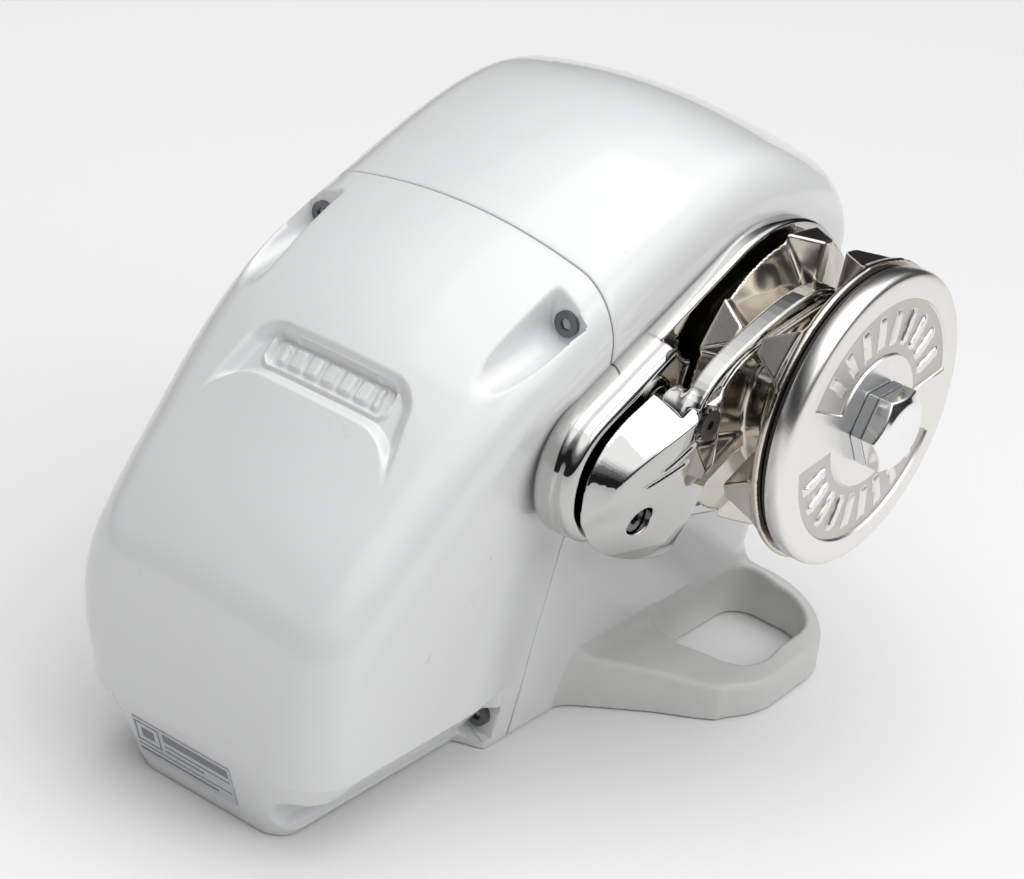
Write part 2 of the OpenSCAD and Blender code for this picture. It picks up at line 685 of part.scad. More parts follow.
// Wedge teeth stand up on both flanges between the link pockets
module gypsy_tooth(flange_x, slot_x) {
    translate([0, 0, tooth_in_r]) linear_extrude(tooth_out_r - tooth_in_r)
        polygon([[flange_x, -11], [slot_x, -3.5], [slot_x, 3.5], [flange_x, 11]]);
}
module gypsy() color("tan") on_shaft() {
    turned(gypsy_profile);
    for (i = [0:pockets - 1]) rotate([i * 360 / pockets - 8, 0, 0]) {
        gypsy_tooth(gypsy_x0 + 1, groove_x - slot_w / 2);
        gypsy_tooth(gypsy_x1 - 1, groove_x + slot_w / 2);
    }
}
module gypsy_bush() color("goldenrod") on_shaft() difference() {
    xcyl(groove_x - web_half, groove_x + web_half, bush_r);
    xcyl(0, 200, shaft_r + fit);
}
module clutch_disc() color("silver") on_shaft() difference() {
    turned([
        [step_x + 0.4, shaft_end_r + fit], [step_x + 0.4, cone_r_small + 0.5],
        [gypsy_x1, cone_r_big], [disc_x0, cone_r_big], [disc_x0, disc_r - 1],
        [disc_x0 + 1, disc_r], [disc_x1 - 1.5, disc_r], [disc_x1, disc_r - 1.5],
        [disc_x1, shaft_end_r + fit]
    ]);
    shaft_key(100, 140, shaft_end_r, disc_key_w + 0.1, 6.4);
    for (a = [167.5, -13]) panel_recess(a);
    rotate([165, 0, 0]) translate([128.7, disc_r - 9, 0]) rotate([-90, 0, 0]) cylinder(h = 12, r = 2);
}
// Blank arc panel sunk in the disc's face
module panel_recess(start) {
    translate([disc_x1 - 0.8, 0, 0]) rotate([start - 150, 0, 0]) rotate([90, 0, 90])
        rotate_extrude(angle = 150) translate([27, 0]) square([22, 2]);
}
module seal_ring() color("black") on_shaft() difference() {
    xcyl(seal_x0, disc_x0, disc_r - 2);
    xcyl(seal_x0 - 1, disc_x0 + 1, cone_r_big + 2);
}
nut_r = nut_af / 2 / cos(30);
module clutch_nut() color("silver") on_shaft() rotate([nut_turn, 0, 0]) difference() {
    xcyl(nut_x0, nut_split, nut_r, 6);
    xcyl(nut_x0 - 1, nut_split + 1, shaft_end_r + fit);
}
module nut_cap() color("lightgray") on_shaft() rotate([nut_turn, 0, 0]) difference() {
    intersection() {
        xcyl(nut_split, nut_x1, nut_r, 6);
        xcone(nut_split - 20, nut_x1 + 0.001, nut_r + 28, nut_r - 2.2);
    }
    xcyl(nut_split - 1, shaft_x1 + 0.8, shaft_end_r + 0.4);
}

module stripper_base() color("gainsboro") difference() {
    union() {
        yz_slab(wall_face, plate_x1) plate_outline();
        yz_slab(plate_x1, plate_thick_x1) difference() {
            plate_outline();
            translate([0, shaft_h]) circle(flange_r + 2.5);
        }
    }
    on_shaft() xcyl(0, 200, plate_hole_r);
    at_yz(pivot) xcyl(plate_x1 - 3, 100, pivot_r);
    at_yz(lower_screw) xcyl(wall_face + 2, 100, 2.45);
    for (p = base_screw_places) at_yz(p) {
        xcyl(60, 100, 3.3);
        xcyl(plate_thick_x1 - 6, 100, 5.6);
    }
}
module base_screws() color("dimgray") for (p = base_screw_places)
    translate([plate_thick_x1 - 6, p[0], p[1]]) rotate([0, 90, 0]) cap_screw(3, 20, 5, 5.5);
module stripper() color("gainsboro") difference() {
    union() {
        hull() {
            at_yz(stripper_tail) xcyl(stripper_x0, stripper_x0 + 5, 26, hull_fn);
            at_yz(pivot) xcyl(stripper_x0, stripper_x1, 9.5, hull_fn);
            at_yz([-76, 114]) xcyl(stripper_x0, stripper_x1 - 4, 8, hull_fn);
            at_yz([-66, 90]) xcyl(stripper_x0, stripper_x0 + 5, 3, hull_fn);
        }
        yz_slab(groove_x - finger_w / 2, groove_x + finger_w / 2) polygon([
            [-50.8, 168.3], [-48.5, 157], [-53, 141], [-61, 131], [-76, 112], [-80, 140],
            [-70, 164]]);
    }
    at_yz(pivot) {
        xcyl(80, 120, pivot_r + 0.1);
        xcyl(stripper_x0 - 1, stripper_x1 - 2.7, finger_r + 0.6);
        xcone(stripper_x1 - 2.8, stripper_x1 + 0.1, pivot_r + 0.1, pivot_r + 3);
    }
    finger_way();
    at_yz(lower_screw) {
        xcyl(80, 120, 3.3);
        xcyl(stripper_x0 + 3, 120, 6);
    }
}
// Room for the finger to swing up out of the stripper
module finger_way() {
    at_yz(pivot) translate([stripper_x0 - 1, -finger_r - 0.6, 0])
        cube([stripper_x1 - 2.7 - stripper_x0 + 1, 60, 40]);
}
module stripper_screw() color("dimgray") translate([stripper_x0 + 3, lower_screw[0], lower_screw[1]])
    rotate([0, 90, 0]) cap_screw(3, 15, 5, 5);
module finger_screw() color("dimgray") at_yz(pivot) difference() {
    union() {
        xcyl(plate_x1 - 2, stripper_x1 - 2.7, pivot_r);
        xcone(stripper_x1 - 2.8, stripper_x1 - 0.2, pivot_r, pivot_r + 2.7);
    }
    xcyl(stripper_x1 - 2.5, stripper_x1 + 1, 2, 6);
}
module pressure_finger() color("gainsboro") difference() {
    union() {
        at_yz(pivot) xcyl(stripper_x0 + 5, stripper_x1 - 3, finger_r);
        yz_slab(groove_x - finger_w / 2, groove_x + finger_w / 2) polygon([
            [-82, 159], [-76, 168], [-66, 175.5], [-50, 181.5], [-30, 187.5], [-14, 190],
            [0, 188.5], [7, 185], [8.5, 181], [5, 179], [-10, 178], [-38, 174.5], [-55, 172],
            [-65.6, 160]]);
    }
    at_yz(pivot) xcyl(80, 120, pivot_r + fit);
}
// Torsion spring wound round the finger's screw
module finger_spring() color("silver") {
    turns = 3;
    steps = 16;
    wire_r = 0.6;
    coil_r = 5.6;
    sides = 6;
    pitch = 1.1;
    points = [for (i = [0:turns * steps]) for (k = [0:sides - 1])
        let (a = i * 360 / steps, r = coil_r + wire_r * cos(k * 60))
        [stripper_x0 + 0.9 + pitch * i / steps + wire_r * sin(k * 60), r * cos(a), r * sin(a)]];
    faces = [for (i = [0:turns * steps - 1]) for (k = [0:sides - 1]) let (n = (k + 1) % sides)
        [i * sides + k, i * sides + n, (i + 1) * sides + n, (i + 1) * sides + k]];
    last = turns * steps * sides;
    at_yz(pivot) polyhedron(points, concat([[for (k = [sides - 1:-1:0]) k]], faces,
        [[for (k = [0:sides - 1]) last + k]]));
}

gear_housing();
motor_cover();
cover_gasket();
cover_screws();
rating_plate();
bearing_carrier();
carrier_screws();
oil_seal();
main_shaft();
wheel_key();
worm_wheel();
wheel_circlips();
shaft_outer_races();
shaft_inner_races();
shaft_balls();
worm();
worm_outer_races();
worm_inner_races();
worm_balls();
coupling_sleeve();
bearing_spacer();
motor_front_plate();
motor_can();
motor_end_cap();
field_magnets();
armature_shaft();
armature_core();
windings();
commutator();
motor_outer_races();
motor_inner_races();
motor_balls();
brush_holders();
brushes();
brush_springs();
motor_bolts();
terminal_posts();
inner_cone();
inner_cone_key();
gypsy();
gypsy_bush();
clutch_disc();
seal_ring();
disc_key();
clutch_nut();
nut_cap();
stripper_base();
base_screws();
stripper();
stripper_screw();
finger_screw();
pressure_finger();
finger_spring();
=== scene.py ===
"""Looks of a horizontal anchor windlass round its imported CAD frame.

X is the main shaft's axis, Y runs along the case with the bow towards -Y, Z is up from the deck.
Shapes are worked out in millimetres and stored in metres.
"""
import math

import bmesh
import bpy
import numpy as np
from mathutils import Matrix, Vector
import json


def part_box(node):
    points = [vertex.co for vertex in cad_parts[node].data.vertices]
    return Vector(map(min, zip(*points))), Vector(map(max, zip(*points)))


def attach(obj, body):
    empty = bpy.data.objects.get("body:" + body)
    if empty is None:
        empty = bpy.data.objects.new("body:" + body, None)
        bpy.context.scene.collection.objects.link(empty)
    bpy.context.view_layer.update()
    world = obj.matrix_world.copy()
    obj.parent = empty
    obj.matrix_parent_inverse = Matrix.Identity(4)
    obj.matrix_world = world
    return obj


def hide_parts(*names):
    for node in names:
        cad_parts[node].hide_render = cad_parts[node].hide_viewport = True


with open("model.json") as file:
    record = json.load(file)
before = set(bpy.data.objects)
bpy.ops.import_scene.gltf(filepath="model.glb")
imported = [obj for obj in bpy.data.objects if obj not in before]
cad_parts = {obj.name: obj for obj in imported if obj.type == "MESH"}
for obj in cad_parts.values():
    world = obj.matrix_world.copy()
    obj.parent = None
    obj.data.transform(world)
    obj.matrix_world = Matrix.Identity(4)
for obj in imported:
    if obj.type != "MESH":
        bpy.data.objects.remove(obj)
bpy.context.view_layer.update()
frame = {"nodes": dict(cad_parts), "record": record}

MM = 0.001


# ---------------------------------------------------------------- sizes taken from the frame
def span(node):
    """Lowest and highest corner of a CAD node, in millimetres."""
    low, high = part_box(node)
    return np.array(low) / MM, np.array(high) / MM


DISC_LOW, DISC_HIGH = span("clutch_disc")
SHAFT_Z = (DISC_LOW[2] + DISC_HIGH[2]) / 2
DISC_R = (DISC_HIGH[2] - DISC_LOW[2]) / 2
DISC_X1 = DISC_HIGH[0]
DISC_X0 = span("seal_ring")[1][0]
GYPSY_LOW, GYPSY_HIGH = span("gypsy")
GYPSY_R = (GYPSY_HIGH[2] - GYPSY_LOW[2]) / 2
GASKET_LOW, GASKET_HIGH = span("cover_gasket")
JOINT_Y = (GASKET_LOW[1] + GASKET_HIGH[1]) / 2
HOUSING_Y0 = GASKET_HIGH[1]
COVER_Y1 = GASKET_LOW[1]
NUT_LOW, NUT_HIGH = span("clutch_nut")
CAP_LOW, CAP_HIGH = span("nut_cap")
NUT_AF = NUT_HIGH[2] - NUT_LOW[2]
BASE_LOW, BASE_HIGH = span("stripper_base")
WALL_X = BASE_LOW[0]
THICK_X1 = BASE_HIGH[0]
STRIPPER_X0 = span("stripper")[0][0]
SCREW_FACE_Y = span("cover_screws")[0][1]
PLATE_LOW, PLATE_HIGH = span("rating_plate")
CREST_Z = span("gear_housing")[1][2]

# sizes that the frame's boxes don't give
SHAFT_END_R = 10.0
GROOVE_X = 101.0                # middle of the gypsy's chain groove
SLOT_HALF = 4.5                 # half width of the slot for upright links
PIVOT = (-74.0, 156.5)          # pressure finger's screw, (y, z)
LOWER_SCREW = (-96.0, 121.0)    # stripper's screw, (y, z)


# ---------------------------------------------------------------- mesh tools
def make_mesh(name, points, faces, smooth=True):
    """A mesh object from points in millimetres."""
    mesh = bpy.data.meshes.new(name)
    mesh.from_pydata((np.asarray(points, float) * MM).tolist(), [], [list(map(int, f)) for f in faces])
    mesh.polygons.foreach_set("use_smooth", [smooth] * len(mesh.polygons))
    mesh.update()
    piece = bpy.data.objects.new(name, mesh)
    bpy.context.scene.collection.objects.link(piece)
    return piece


def grid_faces(rows, columns, closed=False, flip=False):
    """Quads of a grid of points stored row by row; closed joins the last column to the first."""
    i, j = np.meshgrid(np.arange(rows - 1), np.arange(columns if closed else columns - 1), indexing="ij")
    k = (j + 1) % columns
    quads = np.stack([i * columns + j, i * columns + k, (i + 1) * columns + k, (i + 1) * columns + j], -1)
    quads = quads.reshape(-1, 4)
    return quads[:, ::-1] if flip else quads


def surface_net(field, low, high, step):
    """Points and quads of the surface where field is zero, inside a box, one point per crossed cell."""
    low = np.asarray(low, float) - step
    axes = [np.arange(a, b + 2 * step, step) for a, b in zip(low, high)]
    inside = field(*np.meshgrid(*axes, indexing="ij")) < 0
    nx, ny, nz = (s - 1 for s in inside.shape)
    corners = sum(inside[i:i + nx, j:j + ny, k:k + nz].astype(np.int8)
                  for i in (0, 1) for j in (0, 1) for k in (0, 1))
    cells = (corners > 0) & (corners < 8)
    index = np.full(cells.shape, -1)
    index[cells] = np.arange(cells.sum())
    centres = low + (np.argwhere(cells) + 0.5) * step
    points = pull_onto(field, centres, step)
    quads = []
    for a in range(3):
        b, c = (a + 1) % 3, (a + 2) % 3
        here = np.take(inside, np.arange(inside.shape[a] - 1), axis=a)
        there = np.take(inside, np.arange(1, inside.shape[a]), axis=a)
        crossed = here != there
        for axis in (b, c):
            edge = [slice(None)] * 3
            edge[axis] = 0
            crossed[tuple(edge)] = False
            edge[axis] = -1
            crossed[tuple(edge)] = False
        p = np.argwhere(crossed)
        eb, ec = np.eye(3, dtype=int)[b], np.eye(3, dtype=int)[c]
        quad = np.stack([index[tuple(q.T)] for q in (p, p - eb, p - eb - ec, p - ec)], -1)
        out = ~here[tuple(p.T)]
        quad[out] = quad[out][:, ::-1]
        quads.append(quad)
    return points, np.concatenate(quads)


def gradient(field, p, h=0.02):
    """Slope of a field at points p."""
    steps = np.eye(3) * h
    return np.stack([field(*(p + s).T) - field(*(p - s).T) for s in steps], -1) / (2 * h)


def pull_onto(field, centres, step, rounds=6):
    """Moves points along the field's slope onto its zero surface, by less than one cell."""
    p = centres.copy()
    for _ in range(rounds):
        slope = gradient(field, p)
        length = np.maximum((slope ** 2).sum(1), 0.05)
        p = p - slope * (field(*p.T) / length)[:, None]
        p = centres + np.clip(p - centres, -0.95 * step, 0.95 * step)
    return p


def net_piece(name, field, low, high, step, floor=None):
    """Mesh of a field's surface, shaded with the field's own slope."""
    points, quads = surface_net(field, low, high, step)
    if floor is not None:
        points[:, 2] = np.maximum(points[:, 2], floor)
    slope = gradient(field, points, 0.05)
    slope /= np.maximum(np.linalg.norm(slope, axis=1), 1e-6)[:, None]
    piece = make_mesh(name, points, quads)
    piece.data.normals_split_custom_set_from_vertices(slope.tolist())
    return piece


# ---------------------------------------------------------------- distance fields
def inside_all(*walls):
    """Inside every wall, with sharp edges."""
    deepest = walls[0]
    for wall in walls[1:]:
        deepest = np.maximum(deepest, wall)
    return deepest


def round_and(r, *walls):
    """Inside all walls, with convex edges rounded to radius r."""
    corner = np.sqrt(sum(np.maximum(w + r, 0) ** 2 for w in walls))
    return corner + np.minimum(inside_all(*walls), -r)


def soft_or(k, a, b):
    """Inside either form, with a fillet about k wide between them."""
    h = np.maximum(k - np.abs(a - b), 0) / k
    return np.minimum(a, b) - h * h * k / 4


def soft_cut(k, a, b):
    """Form a with form b taken out, its new edges rounded about k."""
    return -soft_or(k, -a, b)


def round_cut(r, a, b):
    """Form a with form b taken out, its new edges rounded to radius r."""
    return round_and(r, a, -b)


def smooth_step(a, b, x):
    """0 below a, 1 above b, and a smooth change between them."""
    t = np.clip((x - a) / (b - a), 0, 1)
    return t * t * (3 - 2 * t)


def capsule(u, v, c1, r1, c2, r2):
    """Distance to the outline round two circles, in the plane (u, v)."""
    axis = np.subtract(c2, c1)
    length = math.hypot(*axis)
    axis = axis / length
    along = (u - c1[0]) * axis[0] + (v - c1[1]) * axis[1]
    across = np.abs((v - c1[1]) * axis[0] - (u - c1[0]) * axis[1])
    sin_b = (r1 - r2) / length
    cos_b = math.sqrt(1 - sin_b ** 2)
    k = -across * sin_b + along * cos_b
    ends = np.where(k < 0, np.hypot(along, across) - r1, np.hypot(along - length, across) - r2)
    return np.where((k < 0) | (k > cos_b * length), ends, across * cos_b + along * sin_b - r1)


def polygon_distance(u, v, corners):
    """Signed distance to a polygon in the plane (u, v)."""
    nearest = np.full(np.shape(u), 1e9)
    side = np.ones(np.shape(u))
    for (ax, ay), (bx, by) in zip(corners, corners[1:] + corners[:1]):
        ex, ey = bx - ax, by - ay
        px, py = u - ax, v - ay
        t = np.clip((px * ex + py * ey) / (ex * ex + ey * ey), 0, 1)
        nearest = np.minimum(nearest, np.hypot(px - ex * t, py - ey * t))
        above, below, turn = v >= ay, v < by, ex * py > ey * px
        side = np.where((above & below & turn) | (~above & ~below & ~turn), -side, side)
    return side * nearest


def eased(corners, rounds=3):
    """Closed polygon with its corners cut back into smooth curves."""
    points = np.array(corners, float)
    for _ in range(rounds):
        ahead = np.roll(points, -1, axis=0)
        points = np.stack([points * 0.75 + ahead * 0.25, points * 0.25 + ahead * 0.75], 1).reshape(-1, 2)
    return [tuple(q) for q in points]


def wide_box(x, down, half, tall, r):
    """Distance to a rounded box lying across the case."""
    over_x = np.maximum(np.abs(x) - (half - r), 0)
    over_d = np.maximum(np.abs(down) - (tall - r), 0)
    return np.hypot(over_x, over_d) - r


def cubic_through(knots):
    """Natural cubic spline through (x, y) knots, as a function of x."""
    x, y = np.array(knots, float).T
    n, h = len(x), np.diff(x)
    a = np.eye(n)
    b = np.zeros(n)
    for i in range(1, n - 1):
        a[i, i - 1:i + 2] = h[i - 1], 2 * (h[i - 1] + h[i]), h[i]
        b[i] = 6 * ((y[i + 1] - y[i]) / h[i] - (y[i] - y[i - 1]) / h[i - 1])
    m = np.linalg.solve(a, b)

    def height_at(q):
        k = np.clip(np.searchsorted(x, q) - 1, 0, n - 2)
        p, s, w = q - x[k], x[k + 1] - q, h[k]
        return ((m[k] * s ** 3 + m[k + 1] * p ** 3) / (6 * w) + (y[k] / w - m[k] * w / 6) * s
                + (y[k + 1] / w - m[k + 1] * w / 6) * p)
    return height_at


# ---------------------------------------------------------------- case
STEP_Z = 33.0          # where the cover draws in to its skirt
FOOT_W = 48.5          # half width of the case at the deck, at the joint
SIDE_DRAFT = 0.139     # widening per mm of height, at the joint
FULL_W = 57.0          # half width at the deck, over the motor
FULL_DRAFT = 0.08
BOW_Y = 218.0          # distance of the bow face from the shaft, at the step
BOW_LEAN = 0.2
REAR_Y = 72.0          # distance of the rear face from the shaft, at the deck
REAR_LEAN = 0.028
ROOF = [(-250, 40), (-228, 80), (-220, 94), (-208, 112), (-185, 139), (-162, 163.5), (-136, 184.5),
        (-110, 198.5), (-87, 207.5), (-56, 219), (-27, 227.5), (0, CREST_Z), (31, 224.5), (60, 211),
        (95, 193)]
roof_line = cubic_through(ROOF)
CROWN = 0.0023         # how fast the roof falls to the sides, per mm squared
SHOULDER_R = 18.0
BOW_R = 22.0
REAR_R = 17.0


def side_width(y, z):
    """Half width of the case: drafted at the joint, fuller towards the motor."""
    full = smooth_step(-88, -130, y)
    drafted = (FOOT_W + SIDE_DRAFT * z) * (1 - full) + (FULL_W + FULL_DRAFT * z) * full
    return np.minimum(drafted, WALL_X - 0.5)


def case_body(x, y, z):
    """Outer form of both castings above the deck."""
    side = (np.abs(x) - side_width(y, z)) * 0.99
    bow = (-y - BOW_Y - BOW_LEAN * (z - STEP_Z)) * 0.98
    rear = y - REAR_Y - REAR_LEAN * z
    slope = roof_line(y + 0.5) - roof_line(y - 0.5)
    roof = (z - roof_line(y) + CROWN * x * x) / np.sqrt(1 + slope ** 2 + (2 * CROWN * x) ** 2)
    plan = round_and(REAR_R, round_and(BOW_R, side, bow), rear)
    return round_and(SHOULDER_R, plan, roof)


SCREW_X, SCREW_Z = 57.5, 185.3  # upper cover screws
SCREW_Y = SCREW_FACE_Y + 1.5
SCOOP_R = 7.3
BADGE = (-160.5, 163.0)         # middle of the badge recess, (y, z)
BADGE_TILT = math.radians(41.5)
VALLEY_DEPTH = 4.4
PANEL_TOP = 9.3                 # distance down the slope at which the cover rises again
RIM = (29.5, 7.6, 5.0)          # half width, half height and corner radius of the badge's rim
RIM_RISE = 1.1
RECESS = (27.8, 6.0, 3.6)
RECESS_DEPTH = 2.9
BARS_OUT = 23.4                 # half width of the row of plain bars
BAR_PITCH = 7.8
BAR = (2.7, 3.9, 1.2)
BAR_RISE = 1.7


def shoulders(x, down, half, top, r):
    """Distance to a form that is open below, with rounded upper corners."""
    return np.hypot(np.maximum(np.abs(x) - (half - r), 0), np.maximum(top + r - down, 0)) - r


def badge_relief(x, y, z):
    """Depth of the horseshoe valley and the badge's recess below the smooth cover."""
    down = -(y - BADGE[0]) * math.cos(BADGE_TILT) - (z - BADGE[1]) * math.sin(BADGE_TILT)
    arch = shoulders(x, down, 37.6 + 0.23 * down, -9.5, 10.5)
    panel = shoulders(x, down, 38.5 + 0.62 * (down - 15.5), PANEL_TOP, 12)
    valley = smooth_step(0.8, -5.0, arch) * (1 - smooth_step(1.8, -3.2, panel))
    depth = VALLEY_DEPTH * valley * smooth_step(40, 22, down)
    depth = depth - RIM_RISE * smooth_step(0.8, -0.8, wide_box(x, down, *RIM))
    depth = depth + RECESS_DEPTH * smooth_step(0.7, -0.7, wide_box(x, down, *RECESS))
    bar_x = np.where(np.abs(x) < BARS_OUT, (x + BAR_PITCH / 2) % BAR_PITCH - BAR_PITCH / 2, x)
    return depth - BAR_RISE * smooth_step(0.6, -0.6, wide_box(bar_x, down, *BAR))


def cover_body(x, y, z):
    """Motor cover above its step, with the badge and the two scoops, which are open above their screws."""
    body = case_body(x, y, z) + np.where(y < -120, badge_relief(x, y, z), 0)
    sink = np.maximum(SCREW_Y - y, 0)
    below = np.minimum(z - SCREW_Z + sink * 0.14, 0)
    scoop = np.hypot(np.abs(x) - SCREW_X, below) - SCOOP_R - sink * 0.02
    scoop = round_and(1.0, scoop, y - SCREW_Y)
    return soft_cut(1.6, body, scoop)


def ray_shell(field, smooth_field, origin, directions, reach=330, dip=26):
    """Where rays from an origin leave a form: first its smooth shape, then the detail near it."""
    def halve(form, near, far, rounds):
        for _ in range(rounds):
            middle = (near + far) / 2
            inside = form(*np.moveaxis(origin + directions * middle[..., None], -1, 0)) < 0
            near, far = np.where(inside, middle, near), np.where(inside, far, middle)
        return near

    start = np.zeros(directions.shape[:-1])
    leave = halve(smooth_field, start, start + float(reach), 34)
    if field is not smooth_field:
        leave = halve(field, leave - dip, leave + 2.5, 30)
    return origin + directions * leave[..., None]


def fan_angles(half, height, count):
    """Angles from the vertical that share out evenly along a section of that half width and height."""
    run = np.linspace(-(half + height), half + height, count)
    along = np.abs(run)
    across = np.where(along < half, along, half)
    up = np.where(along < half, height, height - (along - half))
    return np.sign(run) * np.arctan2(across, np.maximum(up, 0))


def fan_shell(field, smooth_field, origin, sign, tilts, columns):
    """Shell seen from one low point on the joint: its first row is the joint, its last row is level."""
    psi = fan_angles(66, 172, columns)
    tilt, psi = np.meshgrid(tilts, psi, indexing="ij")
    directions = np.stack([np.sin(psi), sign * np.cos(psi) * np.sin(tilt), np.cos(psi) * np.cos(tilt)], -1)
    return ray_shell(field, smooth_field, np.array(origin, float), directions)


def solid_from_rows(name, points, sign, rim=0.5):
    """Closed solid from a fan of rows; the joint's edge is eased over by rim."""
    rows, columns, _ = points.shape
    lip = points[0].copy()
    centre = np.array([0, lip[0, 1], lip[:, 2].mean()])
    inward = centre - lip
    inward[:, 1] = 0
    inward /= np.linalg.norm(inward, axis=1)[:, None]
    points = points.copy()
    points[0, :, 1] += sign * rim
    vertices = np.concatenate([(lip + inward * rim)[None], points]).reshape(-1, 3)
    faces = [list(f) for f in grid_faces(rows + 1, columns, flip=sign > 0)]
    faces.append(list(range(columns))[:: 1 if sign > 0 else -1])
    last = list(range(rows * columns, (rows + 1) * columns))
    faces.append(last[:: -1 if sign > 0 else 1])
    return make_mesh(name, vertices, faces)


def degrees(*stretches):
    """Angles in radians from (start, stop, step) stretches given in degrees."""
    rows = [np.arange(a, b, s) for a, b, s in stretches]
    return np.radians(np.concatenate(rows + [[stretches[-1][1]]]))


def make_cover():
    """Motor cover from its step up, finest where the badge and the scoops are."""
    origin = (0, COVER_Y1, STEP_Z)
    tilts = degrees((0, 22, 0.4), (22, 36, 0.2), (36, 42, 0.4), (42, 90, 0.8))
    points = fan_shell(cover_body, case_body, origin, -1, tilts, 640)
    return solid_from_rows("motor_cover_shell", points, -1)


def make_housing():
    """Gear housing from the joint to the rear."""
    points = fan_shell(case_body, case_body, (0, HOUSING_Y0, 0), 1, degrees((0, 90, 0.75)), 300)
    return solid_from_rows("gear_housing_shell", points, 1)


WAIST_W = 36.5                  # half width of the skirt at the deck
WAIST_BOW_Y = 205.4             # distance of the skirt's bow face from the shaft, at the deck
WAIST_R, STEP_R = 9, 25         # bow corners at the deck and at the step
FLANGE_Y = (-107, -101)         # where the skirt widens to the joint flange
LOWER_WAY = (43, 12, 8.5)       # the ways to the lower screws: x, z and radius


def skirt_form(x, y, z):
    """Cover below its step: it draws in to the deck and keeps its width only at the joint flange."""
    t = np.clip(z / STEP_Z, 0, 1)
    waist = WAIST_W + (FOOT_W - WAIST_W) * smooth_step(*FLANGE_Y, y)
    half = waist + (side_width(y, STEP_Z) - waist) * t
    side = (np.abs(x) - half) * 0.85
    bow = (-y - WAIST_BOW_Y - (BOW_Y - WAIST_BOW_Y) * t) * 0.93
    return round_and(WAIST_R + (STEP_R - WAIST_R) * t, side, bow)


def skirt_detail(x, y, z):
    """Skirt with the round ways to the two lower screws."""
    way = np.hypot(np.abs(x) - LOWER_WAY[0], z - LOWER_WAY[1]) - LOWER_WAY[2]
    way = round_and(1.0, way, y + 98)
    return soft_cut(1.5, skirt_form(x, y, z), way)


def make_skirt():
    """Motor cover below its step, in level rows, closest together in angle near the joint."""
    bends = [np.linspace(-90, -50, 90), np.linspace(-50, 50, 200)[1:-1], np.linspace(50, 90, 90)]
    psi, height = np.meshgrid(np.radians(np.concatenate(bends)), np.linspace(STEP_Z, 0, 36))
    directions = np.stack([np.sin(psi), -np.cos(psi), np.zeros_like(psi)], -1)
    origin = np.stack([np.zeros_like(height), np.full_like(height, COVER_Y1), height], -1)
    points = ray_shell(skirt_detail, skirt_form, origin, directions, dip=20)
    rows, columns, _ = points.shape
    faces = [list(f) for f in grid_faces(rows, columns)]
    faces.append(list(range(columns)))
    faces.append(list(range((rows - 1) * columns, rows * columns))[::-1])
    left = [i * columns for i in range(rows)]
    right = [i * columns + columns - 1 for i in range(rows)]
    faces.append(left + right[::-1])
    return make_mesh("motor_cover_skirt", points.reshape(-1, 3), faces)


LABEL_THICK = 0.5
LABEL_TALL = 20.0


def make_label():
    """Plain plate on the skirt's bow face, and the blank dark fields and rules printed on it."""
    lean = math.atan2(PLATE_HIGH[1] - PLATE_LOW[1] - LABEL_THICK, PLATE_HIGH[2] - PLATE_LOW[2])
    half = (PLATE_HIGH[0] - PLATE_LOW[0]) / 2
    middle = (PLATE_HIGH[0] + PLATE_LOW[0]) / 2

    def slab(left, right, bottom, top, back, front):
        """Corners of a slab on the plate, from distances along, up and out of it."""
        corners = [(a, d, b) for a in (left, right) for b in (bottom, top) for d in (back, front)]
        return [(middle + a, PLATE_HIGH[1] - d * math.cos(lean) - b * math.sin(lean),
                 PLATE_LOW[2] + 0.2 - d * math.sin(lean) + b * math.cos(lean)) for a, d, b in corners]

    sides = [(0, 2, 6, 4), (1, 5, 7, 3), (0, 1, 3, 2), (4, 6, 7, 5), (0, 4, 5, 1), (2, 3, 7, 6)]
    plate = make_mesh("rating_label", slab(-half, half, 0, LABEL_TALL, 0, LABEL_THICK), sides, smooth=False)
    fields = [(1, 13, 8, 8.7), (1, 13, 18, 18.7), (1, 1.7, 8, 18.7), (12.3, 13, 8, 18.7), (4, 10, 11, 16)]
    rules = [(15, 1, 14.5, 18.7), (15, 1, 11.5, 12.3), (15, 14, 8.6, 9.6), (1, 1, 5.6, 6.2), (1, 8, 2.6, 3.8)]
    fields += [(left, 2 * half - right, bottom, top) for left, right, bottom, top in rules]
    points, faces = [], []
    for n, (left, right, bottom, top) in enumerate(fields):
        points += slab(left - half, right - half, bottom, top, LABEL_THICK - 0.05, LABEL_THICK + 0.06)
        faces += [tuple(8 * n + k for k in side) for side in sides]
    return plate, make_mesh("label_fields", points, faces, smooth=False)


def make_gasket_line():
    """Thin seal that shows as a line between the two castings."""
    psi = fan_angles(66, 200, 300)
    directions = np.stack([np.sin(psi), np.zeros_like(psi), np.cos(psi)], -1)
    edge = ray_shell(case_body, case_body, np.array([0, JOINT_Y, 0]), directions)
    thick = (GASKET_HIGH[1] - GASKET_LOW[1]) / 2
    inward = np.array([0, JOINT_Y, 90]) - edge
    inward /= np.linalg.norm(inward, axis=1)[:, None]
    corners = ((-thick, 6), (-thick, 0.35), (thick, 0.35), (thick, 6))
    points = np.stack([edge + inward * inset + np.array([0, shift, 0]) for shift, inset in corners])
    n = len(psi)
    faces = [list(f) for f in grid_faces(4, n)]
    faces += [[3 * n + j, 3 * n + j + 1, j + 1, j] for j in range(n - 1)]
    faces += [[0, n, 2 * n, 3 * n], [4 * n - 1, 3 * n - 1, 2 * n - 1, n - 1]]
    return make_mesh("gasket_line", points.reshape(-1, 3), faces)


